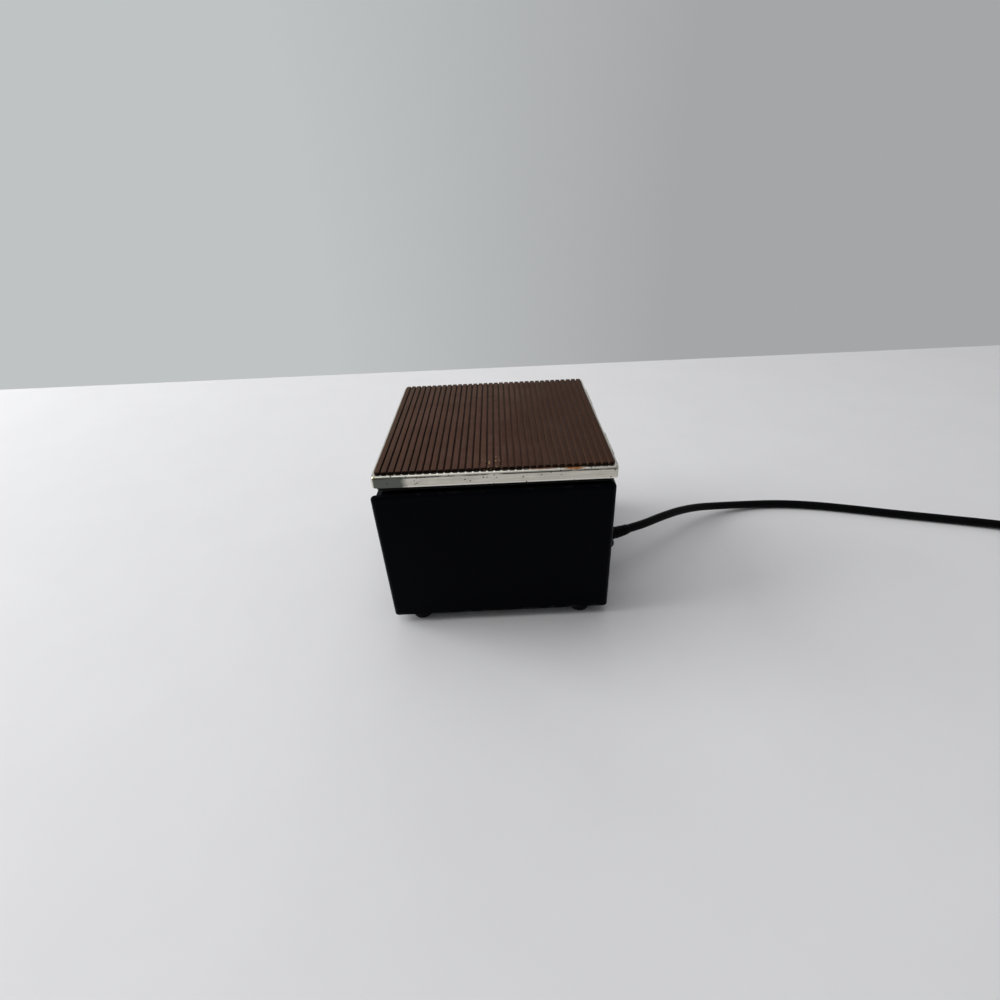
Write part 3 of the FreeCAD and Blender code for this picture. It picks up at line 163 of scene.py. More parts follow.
class HeaterSizes(bpy.types.PropertyGroup):
    """Sizes of the finished pieces that a user would change."""

    rib_count: IntProperty(name="Mat ribs", description="Ribs across the lid's mat", default=34, min=4)
    mat_width: length_property("Mat width", "Mat's size along the lid", 170.8)
    mat_depth: length_property("Mat depth", "Mat's size along its ribs", 171.0)
    mat_base: length_property("Mat base", "Thickness of the mat's sheet under its ribs", 0.8)
    rib_height: length_property("Rib height", "Height of a rib above the sheet", 1.2)
    groove_width: length_property("Groove width", "Gap between two ribs", 1.1)
    rib_edge: length_property("Rib edge", "Rounding of a rib's edges", 0.55)
    mat_corner: length_property("Mat corner", "Radius of the mat's corners", 4.0)
    cord_diameter: length_property("Cord diameter", "Diameter of the mains lead", 7.8)
    scale_radius: length_property("Scale radius", "Distance of the dial's numbers from the knob's axis", 29.0)
    number_height: length_property("Number height", "Height of the dial's numbers", 4.6)


class HeaterColours(bpy.types.PropertyGroup):
    """Colours of the finishes that a user would change."""

    enamel: colour_property("Enamel", "Stove enamel of the case", "#020307")
    mat: colour_property("Mat", "Brown rubber of the lid's mat", "#4e372c")
    steel: colour_property("Lid steel", "Rolled steel of the lid", "#dad6cb")
    rubber: colour_property("Rubber", "Black rubber of feet and strap", "#0b0b0b")
    cord: colour_property("Cord", "Black sheath of the mains lead", "#040405")
    phenolic: colour_property("Phenolic", "Moulded knob", "#0c0b0b")
    nylon: colour_property("Nylon", "Moulded switch and lamp holder", "#101011")
    aluminium: colour_property("Aluminium", "Blocks and their pan", "#c9c9c7")
    zinc: colour_property("Zinc plate", "Plated steel sheet", "#a9acae")
    amber: colour_property("Amber", "Lens of the pilot lamp", "#d2641a")
    paint: colour_property("Dial paint", "Printed scale and pointer", "#d9d6cb")


def sizes():
    return bpy.context.scene.heater_sizes


def colours():
    return bpy.context.scene.heater_colours


def add(tree, kind, inputs=(), **settings):
    """Add a node to a tree, set its properties, and give its inputs, by name or in order, values or links."""
    made = tree.nodes.new(kind)
    for name, value in settings.items():
        setattr(made, name, value)
    for key, value in inputs.items() if isinstance(inputs, dict) else enumerate(inputs):
        socket = made.inputs[key]
        if isinstance(value, bpy.types.NodeSocket):
            tree.links.new(value, socket)
        elif socket.type == "RGBA" and len(value) == 3:
            socket.default_value = (*value, 1.0)
        else:
            socket.default_value = value
    return made


def blank(name):
    """A new material, its empty tree, and the Object coordinates that its patterns read."""
    made = bpy.data.materials.new(name)
    made.use_nodes = True
    made.node_tree.nodes.clear()
    return made, made.node_tree, add(made.node_tree, "ShaderNodeTexCoord").outputs["Object"]


def surfaced(made, inputs):
    """End a material with a shader that has the given inputs."""
    shader = add(made.node_tree, "ShaderNodeBsdfPrincipled", inputs)
    add(made.node_tree, "ShaderNodeOutputMaterial", {"Surface": shader.outputs["BSDF"]})
    return made


def mottle(tree, place, size, low, high, detail=4.0, stretch=(1, 1, 1), shift=0.0):
    """Irregular patches of about a size in millimetres, from 0 to 1. Stretch lengthens them on an axis."""
    move = {"Vector": place, "Location": (shift, shift, shift), "Scale": [1 / s for s in stretch]}
    moved = add(tree, "ShaderNodeMapping", move).outputs[0]
    grain = {"Vector": moved, "Scale": 1 / (size * MM), "Detail": detail, "Roughness": 0.6}
    noise = add(tree, "ShaderNodeTexNoise", grain).outputs[0]
    levels = {"Value": noise, "From Min": low, "From Max": high}
    return add(tree, "ShaderNodeMapRange", levels, interpolation_type="SMOOTHSTEP").outputs[0]


def specks(tree, place, spacing, radius, share):
    """Small round dots: one cell in each spacing, and only a share of the cells filled. Millimetres."""
    cells = add(tree, "ShaderNodeTexVoronoi", {"Vector": place, "Scale": 1 / (spacing * MM)})
    near = {"Value": cells.outputs["Distance"], "From Min": radius / spacing, "From Max": radius / spacing * 0.4}
    dot = add(tree, "ShaderNodeMapRange", near, interpolation_type="SMOOTHSTEP").outputs[0]
    pick = add(tree, "ShaderNodeSeparateXYZ", (cells.outputs["Color"],)).outputs[0]
    kept = add(tree, "ShaderNodeMath", (pick, share), operation="LESS_THAN").outputs[0]
    return add(tree, "ShaderNodeMath", (dot, kept), operation="MULTIPLY").outputs[0]


def patch(tree, place, centre, reach, edge, ragged=0.0, stretch=(1, 1, 1)):
    """One stain round a point, 1 inside its reach and fading over its edge, with a ragged outline. Millimetres."""
    moved = add(tree, "ShaderNodeVectorMath", (place, [c * MM for c in centre]), operation="SUBTRACT").outputs[0]
    scaled = add(tree, "ShaderNodeVectorMath", (moved, stretch), operation="DIVIDE").outputs[0]
    away = add(tree, "ShaderNodeVectorMath", (scaled,), operation="LENGTH").outputs["Value"]
    noise = add(tree, "ShaderNodeTexNoise", {"Vector": place, "Scale": 1 / (3 * MM), "Detail": 4.0}).outputs[0]
    rough = add(tree, "ShaderNodeMath", (noise, 2 * ragged * MM, away), operation="MULTIPLY_ADD").outputs[0]
    levels = {"Value": rough, "From Min": (reach + edge) * MM, "From Max": reach * MM}
    return add(tree, "ShaderNodeMapRange", levels, interpolation_type="SMOOTHSTEP").outputs[0]


def wave_scale(pitch):
    """The scale of a wave pattern whose bands stand a pitch apart, in millimetres."""
    return 6.28 / (20 * pitch * MM)


def stove_enamel(name):
    # Stove enamel on steel sheet: nearly black, a soft gloss with faint orange peel, dust and rubbed edges.
    made, tree, place = blank(name)
    low, high = (Vector(corner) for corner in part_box("housing"))
    dust = mottle(tree, place, 14, 0.5, 0.78, 6)
    up = add(tree, "ShaderNodeSeparateXYZ", (add(tree, "ShaderNodeNewGeometry").outputs["Normal"],)).outputs[2]
    lying = add(tree, "ShaderNodeMapRange", {"Value": up, "From Min": 0.5, "From Max": 1.0}).outputs[0]
    settled = add(tree, "ShaderNodeMath", (dust, lying), operation="MULTIPLY").outputs[0]
    scuffs = mottle(tree, place, 1.5, 0.6, 0.72, 3, (1, 9, 9))
    # How near a point is to two faces at once, which is where the enamel is rubbed on the rounded edges.
    apart = add(tree, "ShaderNodeVectorMath", (place, (low + high) / 2), operation="SUBTRACT").outputs[0]
    away = add(tree, "ShaderNodeVectorMath", (apart,), operation="ABSOLUTE").outputs[0]
    inset = (high - low) / 2 - 4 * MM * Vector((1, 1, 1))
    into = add(tree, "ShaderNodeVectorMath", (away, inset), operation="SUBTRACT").outputs[0]
    axes = add(tree, "ShaderNodeSeparateXYZ", (into,)).outputs
    corner = add(tree, "ShaderNodeMath", (axes[0], axes[1]), operation="MINIMUM").outputs[0]
    side = add(tree, "ShaderNodeMath", (axes[0], axes[1]), operation="MAXIMUM").outputs[0]
    rim = add(tree, "ShaderNodeMath", (side, axes[2]), operation="MINIMUM").outputs[0]
    edge = add(tree, "ShaderNodeMath", (corner, rim), operation="MAXIMUM").outputs[0]
    close = add(tree, "ShaderNodeMapRange", {"Value": edge, "From Min": 1.6 * MM, "From Max": 3 * MM}).outputs[0]
    rub = mottle(tree, place, 9, 0.5, 0.62, 5)
    worn = add(tree, "ShaderNodeMath", (close, rub), operation="MULTIPLY").outputs[0]
    base = colours().enamel
    for mask, code in ((settled, "#1c1a19"), (worn, "#26262a")):
        base = add(tree, "ShaderNodeMix", {0: mask, 6: base, 7: linear(code)}, data_type="RGBA").outputs[2]
    rough = add(tree, "ShaderNodeMapRange", {"Value": scuffs, "To Min": 0.34, "To Max": 0.5}).outputs[0]
    peel = add(tree, "ShaderNodeTexNoise", {"Vector": place, "Scale": 1 / (1.6 * MM), "Detail": 2.0}).outputs[0]
    bump = add(tree, "ShaderNodeBump", {"Height": peel, "Strength": 0.25, "Distance": 0.05 * MM}).outputs[0]
    return surfaced(made, {"Base Color": base, "Roughness": rough, "Normal": bump, "Specular IOR Level": 0.03})


def rolled_steel(name):
    # Bright rolled steel sheet: fine grain along the fold, painted shadow in the fold's crease, a painted highlight on
    # the hem, rusty pits, a painted dark reflection on one end, and thin rust where water has stood beside the mat.
    made, tree, place = blank(name)
    grain = mottle(tree, place, 0.5, 0.3, 0.7, 3, (60, 1, 1))
    cloud = mottle(tree, place, 11, 0.35, 0.7, 5)
    cloudy = add(tree, "ShaderNodeMath", (cloud, 0.3), operation="MULTIPLY").outputs[0]
    axes = add(tree, "ShaderNodeSeparateXYZ", (place,)).outputs
    near_face = {"Value": axes[1], "From Min": -88.1 * MM, "From Max": -88.5 * MM}
    front = add(tree, "ShaderNodeMapRange", near_face).outputs[0]
    rising = ON_LID.to_3x3() @ UP
    along = add(tree, "ShaderNodeVectorMath", (place, rising), operation="DOT_PRODUCT").outputs["Value"]
    level = add(tree, "ShaderNodeMath", (along, rising.dot(HINGE)), operation="SUBTRACT").outputs[0]
    # Heights on the near face, above the hinge's axis: where the crease starts, where the ledge ends it, and the hem.
    bands = []
    for low, high in ((9.2, 9.6), (10.6, 10.1), (3.5, 2.9)):
        rise = {"Value": level, "From Min": low * MM, "From Max": high * MM}
        bands.append(add(tree, "ShaderNodeMapRange", rise).outputs[0])
    # The band just under the ledge is a painted shadow in the fold's crease, and the band at the hem a painted
    # highlight.
    crease_shadow, below_ledge, hem_highlight = bands
    broken = mottle(tree, place, 5, 0.3, 0.55, 4, (4, 1, 1), 0.3)
    for share in (below_ledge, broken, front):
        crease_shadow = add(tree, "ShaderNodeMath", (crease_shadow, share), operation="MULTIPLY").outputs[0]
    # Painted highlight: the hem of the near face is made brighter.
    hem_highlight = add(tree, "ShaderNodeMath", (hem_highlight, front), operation="MULTIPLY").outputs[0]
    rusty = patch(tree, place, (-49, -88.7, 136.5), 4, 5, 2)
    close = add(tree, "ShaderNodeMath", (specks(tree, place, 2.2, 0.8, 0.5), rusty), operation="MULTIPLY").outputs[0]
    pits = add(tree, "ShaderNodeMath", (specks(tree, place, 3.4, 0.75, 0.6), close), operation="MAXIMUM").outputs[0]
    wander = mottle(tree, place, 3, 0.2, 0.8)
    ragged = add(tree, "ShaderNodeMath", (wander, 1.6 * MM, axes[0]), operation="MULTIPLY_ADD").outputs[0]
    control_end = {"Value": ragged, "From Min": -51.5 * MM, "From Max": -56.5 * MM}
    left = add(tree, "ShaderNodeMapRange", control_end).outputs[0]
    # Painted reflection: the end of the near face by the controls is darkened, standing in for a dark reflection.
    dark_end_reflection = add(tree, "ShaderNodeMath", (left, front), operation="MULTIPLY").outputs[0]
    stains = [
        (patch(tree, place, (42, -86.2, 141), 1.5, 0.8, 0.8, (11, 1, 1)), "#8a6254"),
        (patch(tree, place, (65, -87.0, 140.9), 2.2, 1.2, 1.2, (4.6, 1, 1)), "#9a6430"),
        (patch(tree, place, (63, -86.0, 140.9), 1.3, 0.5, 0.8, (9, 1, 1)), "#55301c"),
        (patch(tree, place, (55, -88.7, 139.9), 0.7, 0.5, 0.3), "#1a1512"),
        (patch(tree, place, (72, -88.7, 139.6), 0.6, 0.6, 0.4), "#7a4a28"),
        (patch(tree, place, (-75.6, -88.2, 141.3), 1.0, 0.8, 0.6), "#9aa04a"),
    ]
    # The grain and clouds are the steel's own tone; the hem's painted highlight and the end's painted dark reflection
    # join them.
    tones_and_painted_light = [(grain, "#c4c0b5"), (cloudy, "#a8a59b"), (hem_highlight, "#e4e1d8"), (dark_end_reflection, "#666a64")]
    colour = colours().steel
    for mask, code in [*tones_and_painted_light, *stains, (crease_shadow, "#453c33"), (pits, "#2f251d")]:
        colour = add(tree, "ShaderNodeMix", {0: mask, 6: colour, 7: linear(code)}, data_type="RGBA").outputs[2]
    # Stains and pits, and the crease's painted shadow, make the steel less metallic and rougher.
    stains_and_crease_shadow = crease_shadow
    for mask in [*(stain for stain, code in stains), pits]:
        stains_and_crease_shadow = add(tree, "ShaderNodeMath", (stains_and_crease_shadow, mask), operation="MAXIMUM").outputs[0]
    metal = add(tree, "ShaderNodeMapRange", {"Value": stains_and_crease_shadow, "To Min": 1.0, "To Max": 0.25}).outputs[0]
    dull = add(tree, "ShaderNodeMath", (stains_and_crease_shadow, dark_end_reflection), operation="MAXIMUM").outputs[0]
    rough = add(tree, "ShaderNodeMapRange", {"Value": dull, "To Min": 0.3, "To Max": 0.55}).outputs[0]
    bump = add(tree, "ShaderNodeBump", {"Height": grain, "Strength": 0.12, "Distance": 0.03 * MM}).outputs[0]
    hollow = {"Height": pits, "Strength": 0.6, "Distance": 0.08 * MM, "Normal": bump}
    sunk = add(tree, "ShaderNodeBump", hollow, invert=True).outputs[0]
    return surfaced(made, {"Base Color": colour, "Metallic": metal, "Roughness": rough, "Normal": sunk})


def ribbed_rubber(name):
    # Brown moulded rubber: matt, cloudy in colour, with a fine grain. Its grooves are painted dark as shade at the
    # control end and a paler brown towards the hinges, its cut ends are painted black as shade, and crumbs and a rust
    # speck lie on it.
    made, tree, place = blank(name)
    cloud = mottle(tree, place, 26, 0.3, 0.72, 5)
    streak = mottle(tree, place, 2.2, 0.35, 0.7, 3, (1, 14, 1))
    tone = mottle(tree, place, 5, 0.4, 0.62, 2, (1, 25, 1), 0.7)
    grit = mottle(tree, place, 0.7, 0.55, 0.75, 2)
    axes = add(tree, "ShaderNodeSeparateXYZ", (place,)).outputs
    height = add(tree, "ShaderNodeAttribute", attribute_name="rib_height").outputs["Fac"]
    groove = add(tree, "ShaderNodeMapRange", {"Value": height, "From Min": 0.93, "From Max": 0.6}).outputs[0]
    ragged = add(tree, "ShaderNodeMath", (cloud, 30 * MM, axes[0]), operation="MULTIPLY_ADD").outputs[0]
    worn = add(tree, "ShaderNodeMapRange", {"Value": ragged, "From Min": 12 * MM, "From Max": 68 * MM}).outputs[0]
    # Towards the hinges the grooves are made a paler brown.
    pale_grooves = add(tree, "ShaderNodeMath", (groove, worn), operation="MULTIPLY").outputs[0]
    # Painted shade: elsewhere the grooves are darkened, standing in for the shadow in them.
    rest = add(tree, "ShaderNodeMath", (groove, pale_grooves), operation="SUBTRACT").outputs[0]
    left = add(tree, "ShaderNodeMapRange", {"Value": axes[0], "From Min": -35 * MM, "From Max": -85 * MM}).outputs[0]
    back = add(tree, "ShaderNodeMapRange", {"Value": axes[1], "From Min": 20 * MM, "From Max": 100 * MM}).outputs[0]
    greenish = add(tree, "ShaderNodeMath", (left, back), operation="MAXIMUM").outputs[0]
    side = add(tree, "ShaderNodeMath", (axes[1],), operation="ABSOLUTE").outputs[0]
    # Painted shade: the ribs' cut ends, at front and back, are darkened nearly to black.
    ends = add(tree, "ShaderNodeMapRange", {"Value": side, "From Min": 84.5 * MM, "From Max": 85.2 * MM}).outputs[0]
    around = patch(tree, place, (7.5, -78, 143.0), 10, 6, 4)
    crumbs = add(tree, "ShaderNodeMath", (specks(tree, place, 2.4, 0.8, 0.8), around), operation="MULTIPLY").outputs[0]
    layers = [
        (cloud, 1.0, "#402c23"),
        (greenish, 0.4, "#464036"),
        (tone, 0.3, "#583a2e"),
        (streak, 0.35, "#573f34"),
        (grit, 0.2, "#5d4a40"),
        (worn, 0.85, "#35231b"),
        # Painted shade in the grooves.
        (rest, 0.7, "#1b1310"),
        (pale_grooves, 0.9, "#634a3b"),
        # Painted shade on the ribs' cut ends.
        (ends, 0.8, "#0f0907"),
        (crumbs, 1.0, "#a98f63"),
        (specks(tree, place, 9, 0.4, 0.3), 0.8, "#7c6750"),
        (patch(tree, place, (-61.7, 27.4, 143.7), 0.9, 0.6, 0.5), 1.0, "#a3562a"),
    ]
    shades = {0: streak, 6: colours().mat, 7: linear("#463127")}
    colour = add(tree, "ShaderNodeMix", shades, data_type="RGBA").outputs[2]
    for mask, share, code in layers:
        part = add(tree, "ShaderNodeMath", (mask, share), operation="MULTIPLY").outputs[0]
        colour = add(tree, "ShaderNodeMix", {0: part, 6: colour, 7: linear(code)}, data_type="RGBA").outputs[2]
    rough = add(tree, "ShaderNodeMapRange", {"Value": cloud, "To Min": 0.55, "To Max": 0.68}).outputs[0]
    grain = add(tree, "ShaderNodeTexNoise", {"Vector": place, "Scale": 1 / (0.8 * MM), "Detail": 3.0}).outputs[0]
    bump = add(tree, "ShaderNodeBump", {"Height": grain, "Strength": 0.35, "Distance": 0.08 * MM}).outputs[0]
    return surfaced(made, {"Base Color": colour, "Roughness": rough, "Normal": bump, "Specular IOR Level": 0.03})


def worked(name, base, tint, metal, rough, patches, grain, relief, specular=0.5, stretch=(1, 1, 1), lift=0.35):
    """A finish of two shades in patches, with a grain in its relief. Patch and grain sizes in millimetres."""
    made, tree, place = blank(name)
    cloud = mottle(tree, place, patches, 0.32, 0.7, 5)
    fine = mottle(tree, place, grain, 0.3, 0.7, 3, stretch)
    share = add(tree, "ShaderNodeMath", (cloud, 0.75), operation="MULTIPLY").outputs[0]
    shades = {0: share, 6: linear(base) if base.startswith("#") else getattr(colours(), base), 7: linear(tint)}
    colour = add(tree, "ShaderNodeMix", shades, data_type="RGBA").outputs[2]
    spread = {"Value": fine, "To Min": rough - 0.06, "To Max": rough + 0.08}
    uneven = add(tree, "ShaderNodeMapRange", spread).outputs[0]
    bump = add(tree, "ShaderNodeBump", {"Height": fine, "Strength": lift, "Distance": relief * MM}).outputs[0]
    look = {"Base Color": colour, "Roughness": uneven, "Normal": bump}
    return surfaced(made, {**look, "Metallic": metal, "Specular IOR Level": specular})


def machined_aluminium(name):
    # Milled aluminium block: bright, with fine arcs left by the cutter and streaks down the wells.
    made, tree, place = blank(name)
    cut = {"Vector": place, "Scale": wave_scale(1.1), "Distortion": 0.6, "Detail": 2.0}
    arcs = add(tree, "ShaderNodeTexWave", cut, wave_type="RINGS", rings_direction="SPHERICAL").outputs[1]
    fine = mottle(tree, place, 0.5, 0.3, 0.7, 3, (1, 1, 8))
    handled = mottle(tree, place, 17, 0.45, 0.7, 5)
    shades = {0: handled, 6: colours().aluminium, 7: linear("#a9a9a8")}
    colour = add(tree, "ShaderNodeMix", shades, data_type="RGBA").outputs[2]
    mixed = add(tree, "ShaderNodeMath", (arcs, fine), operation="ADD").outputs[0]
    spread = {"Value": mixed, "From Max": 2.0, "To Min": 0.26, "To Max": 0.42}
    rough = add(tree, "ShaderNodeMapRange", spread).outputs[0]
    bump = add(tree, "ShaderNodeBump", {"Height": mixed, "Strength": 0.2, "Distance": 0.02 * MM}).outputs[0]
    return surfaced(made, {"Base Color": colour, "Metallic": 1.0, "Roughness": rough, "Normal": bump})


def zinc_plate(name):
    # Zinc-plated steel sheet: dull grey with flat spangles a few millimetres across.
    made, tree, place = blank(name)
    cells = add(tree, "ShaderNodeTexVoronoi", {"Vector": place, "Scale": 1 / (5 * MM)})
    spangle = add(tree, "ShaderNodeSeparateXYZ", (cells.outputs["Color"],)).outputs[0]
    stain = mottle(tree, place, 22, 0.5, 0.75, 5)
    colour = colours().zinc
    for mask, code in ((spangle, "#8f9396"), (stain, "#7f7c74")):
        colour = add(tree, "ShaderNodeMix", {0: mask, 6: colour, 7: linear(code)}, data_type="RGBA").outputs[2]
    rough = add(tree, "ShaderNodeMapRange", {"Value": spangle, "To Min": 0.38, "To Max": 0.55}).outputs[0]
    return surfaced(made, {"Base Color": colour, "Metallic": 1.0, "Roughness": rough})


def amber_polycarbonate(name):
    # Moulded amber polycarbonate: clear and glossy, deeper in colour in patches.
    made, tree, place = blank(name)
    deep = mottle(tree, place, 2.5, 0.3, 0.7, 2)
    shades = {0: deep, 6: colours().amber, 7: linear("#b84a10")}
    colour = add(tree, "ShaderNodeMix", shades, data_type="RGBA").outputs[2]
    return surfaced(made, {"Base Color": colour, "Roughness": 0.14, "Transmission Weight": 0.45, "IOR": 1.58})


def silicone_heater(name):
    # Silicone rubber heater mat: orange-brown and matt, with the weave of its glass cloth showing through.
    made, tree, place = blank(name)
    weave = []
    for axis in "XY":
        threads = {"Vector": place, "Scale": wave_scale(1.5)}
        weave.append(add(tree, "ShaderNodeTexWave", threads, bands_direction=axis).outputs[1])
    cross = add(tree, "ShaderNodeMath", weave, operation="MULTIPLY").outputs[0]
    shades = {0: cross, 6: linear("#8a4526"), 7: linear("#a65a34")}
    colour = add(tree, "ShaderNodeMix", shades, data_type="RGBA").outputs[2]
    bump = add(tree, "ShaderNodeBump", {"Height": cross, "Strength": 0.5, "Distance": 0.1 * MM}).outputs[0]
    return surfaced(made, {"Base Color": colour, "Roughness": 0.65, "Normal": bump})


PATTERNED = {
    "stove_enamel": stove_enamel,
    "rolled_steel": rolled_steel,
    "ribbed_rubber": ribbed_rubber,
    "machined_aluminium": machined_aluminium,
    "zinc_plate": zinc_plate,
    "amber_polycarbonate": amber_polycarbonate,
    "silicone_heater": silicone_heater,
}

# What worked() is given for each plainer finish. A base without # is one of the colours that a user would change.
WORKED = {
    # Glass-fibre wool: matt, off-white, with a tangle of fine fibres that are drawn coarse enough to show.
    "glass_fibre_wool": ("#d6cdb2", "#bcae8c", 0, 0.9, 7, 1.2, 0.8, 0.1, (6, 1, 1), 0.9),
    # Pressed aluminium sheet: brighter than the blocks, drawn in one direction, with soft handling marks.
    "pressed_aluminium": ("aluminium", "#b3b3b1", 1, 0.34, 15, 0.5, 0.03, 0.5, (30, 1, 1), 0.2),
    # Black insulating board: matt pressed fibre with a slight nap.
    "pressed_board": ("#0b0b0c", "#131211", 0, 0.8, 8, 0.7, 0.12, 0.12),
    # Moulded black rubber: matt, greyed a little by dust.
    "moulded_rubber": ("rubber", "#1a1918", 0, 0.72, 6, 0.5, 0.08, 0.1),
    # Flexible black PVC: a soft low gloss, with the faint ripple that the extruder leaves.
    "extruded_pvc": ("cord", "#09090a", 0, 0.46, 9, 1.2, 0.06, 0.05),
    # Moulded black phenolic: hard gloss, slightly swirled.
    "moulded_phenolic": ("phenolic", "#191716", 0, 0.24, 7, 1.5, 0.02, 0.45, (1, 1, 1), 0.2),
    # Brown phenolic: matt, flecked with its filler.
    "filled_phenolic": ("#3a241a", "#54372a", 0, 0.5, 1.5, 0.5, 0.03, 0.4),
    # Moulded black nylon: satin, with the fine spark-eroded texture of its mould.
    "textured_nylon": ("nylon", "#1a1a1b", 0, 0.5, 5, 0.35, 0.05, 0.35),
    # Polished black nylon: the rocker, smoothed by fingers.
    "polished_nylon": ("nylon", "#1d1c1c", 0, 0.27, 4, 0.8, 0.015, 0.45, (1, 1, 1), 0.2),
    # White nylon: slightly yellowed and waxy.
    "white_nylon": ("#e2ddcf", "#cfc7b2", 0, 0.42, 8, 0.6, 0.03),
    # Nickel-plated steel: bright, with hair scratches and dull spots.
    "plated_steel": ("#bab8b2", "#8f8b83", 1, 0.3, 3.5, 0.3, 0.03, 0.5, (1, 12, 1), 0.25),
    # Blackened steel: dark oxide with a greasy sheen.
    "blackened_steel": ("#1b1a1a", "#2c2724", 0.7, 0.42, 2, 0.4, 0.04, 0.3),
    # Turned brass: warm yellow, browned in patches.
    "turned_brass": ("#c9a45a", "#8d6c35", 1, 0.3, 3, 0.3, 0.02),
    # Bright brass of plug blades: polished along their length by use.
    "bright_brass": ("#dcc07c", "#b79652", 1, 0.22, 4, 0.3, 0.02, 0.5, (1, 14, 1), 0.2),
    # Drawn copper: pink-brown, darkened by heat.
    "drawn_copper": ("#b97850", "#6f442e", 1, 0.36, 5, 0.4, 0.02),
    # Screen-printed off-white paint: matt, thin in places.
    "dial_paint": ("paint", "#b9b5a8", 0, 0.55, 3, 0.4, 0.02, 0.3),
}


def finish(name):
    """A finish by its name, made once, when the first piece asks for it."""
    if name in bpy.data.materials:
        return bpy.data.materials[name]
    return PATTERNED[name](name) if name in PATTERNED else worked(name, *WORKED[name])


def linked(name, mesh):
    piece = bpy.data.objects.new(name, mesh)
    bpy.context.scene.collection.objects.link(piece)
    return piece


def baked(piece):
    """The mesh that a piece has once its modifiers, or its text, are worked out."""
    bpy.context.view_layer.update()
    graph = bpy.context.evaluated_depsgraph_get()
    return bpy.data.meshes.new_from_object(piece.evaluated_get(graph))


def plain(piece):
    """Turn a piece and its modifiers into a plain mesh."""
    mesh = baked(piece)
    piece.modifiers.clear()
    piece.data = mesh
    return piece


def shaded(mesh, angle=32):
    """Shade smoothly, with sharp edges where faces meet at more than an angle in degrees."""
    mesh.shade_smooth()
    mesh.set_sharp_from_angle(angle=math.radians(angle))
    return mesh


def meshed(name, shape):
    """A mesh object from a bmesh, with its normals pointing outwards."""
    bmesh.ops.recalc_face_normals(shape, faces=shape.faces)
    mesh = bpy.data.meshes.new(name)
    shape.to_mesh(mesh)
    shape.free()
    return linked(name, shaded(mesh))


def evened(piece):
    """Shade a piece by the larger of the faces that meet, and keep the result as a plain mesh."""
    piece.modifiers.new("Weighted", "WEIGHTED_NORMAL").keep_sharp = True
    return plain(piece)


def bevelled(piece, width, segments=3, angle=35):
    """Round a piece's edges by a width in millimetres, and keep the result as a plain mesh."""
    round_edges = piece.modifiers.new("Bevel", "BEVEL")
    round_edges.width = width * MM
    round_edges.segments = segments
    round_edges.limit_method = "ANGLE"
    round_edges.angle_limit = math.radians(angle)
    round_edges.use_clamp_overlap = True
    shaded(plain(piece).data)
    return evened(piece)


def settle(piece, material, body, slot, *nodes):
    """Give a finished piece its material and body, and hide the CAD nodes that it stands for. The slot is not used."""
    piece.data.materials.clear()
    piece.data.materials.append(finish(material))
    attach(piece, body)
    if nodes:
        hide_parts(*nodes)
    return piece


def stand_in(piece, material, node):
    """Settle a piece that stands for one CAD node, with that node's body."""
    slot = next(row["material_slot"] for row in frame["record"]["subparts"] if row["node"] == node)
    return settle(piece, material, frame["nodes"][node]["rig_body"], slot, node)


def merged(node, merge=0.004):
    """A CAD node's loose triangles as a bmesh, with points merged that are nearer than this in millimetres."""
    shape = bmesh.new()
    shape.from_mesh(frame["nodes"][node].data)
    bmesh.ops.remove_doubles(shape, verts=shape.verts, dist=merge * MM)
    return shape


def refined(node, material, bevel=0.0, merge=0.004):
    """A smoothly shaded copy of a CAD node, with near points merged and edges rounded by a bevel. Millimetres."""
    shape = merged(node, merge)
    bmesh.ops.dissolve_degenerate(shape, edges=shape.edges, dist=merge / 4 * MM)
    if bevel:
        flat = math.radians(0.8)
        bmesh.ops.dissolve_limit(shape, angle_limit=flat, verts=shape.verts, edges=shape.edges)
    mesh = bpy.data.meshes.new(node)
    shape.to_mesh(mesh)
    shape.free()
    piece = linked(f"{node}_finished", shaded(mesh))
    if bevel:
        bevelled(piece, bevel, 2)
    else:
        evened(piece)
    return stand_in(piece, material, node)


def bridged(shape, low, high):
    """Faces between two rings of points. A ring of one point is a pole."""
    steps = max(len(low), len(high))
    for i in range(steps):
        j = (i + 1) % steps
        corners = [low[i % len(low)], low[j % len(low)], high[j % len(high)], high[i % len(high)]]
        shape.faces.new(dict.fromkeys(corners))


def lathe(name, profile, steps, matrix, bevel=0.0):
    """A turned shape from (radius, height) corners about Z in millimetres, placed by a matrix."""
    shape = bmesh.new()
    rings = []
    for radius, height in profile:
        count = steps if radius else 1
        turns = [2 * math.pi * i / steps for i in range(count)]
        spots = [Vector((radius * math.cos(t), radius * math.sin(t), height)) * MM for t in turns]
        rings.append([shape.verts.new(spot) for spot in spots])
    closing = [(rings[-1], rings[0])] if profile[0][0] and profile[-1][0] else []
    for low, high in [*zip(rings, rings[1:]), *closing]:
        bridged(shape, low, high)
    piece = meshed(name, shape)
    if bevel:
        bevelled(piece, bevel, 3, 25)
    piece.data.transform(matrix)
    return piece


def lofted(name, stations, steps=48):
    """A solid through sections, each (middle, right, up, half width, half height, squareness)."""
    shape = bmesh.new()
    rings = []
    for middle, right, up, wide, high, square in stations:
        ring = []
        for i in range(steps):
            turn = 2 * math.pi * i / steps
            c, s = math.cos(turn), math.sin(turn)
            across = math.copysign(abs(c) ** (2 / square), c) * wide
            above = math.copysign(abs(s) ** (2 / square), s) * high
            ring.append(shape.verts.new(middle + right * across + up * above))
        rings.append(ring)
    for low, high in zip(rings, rings[1:]):
        bridged(shape, low, high)
    shape.faces.new(rings[0])
    shape.faces.new(rings[-1])
    return meshed(name, shape)


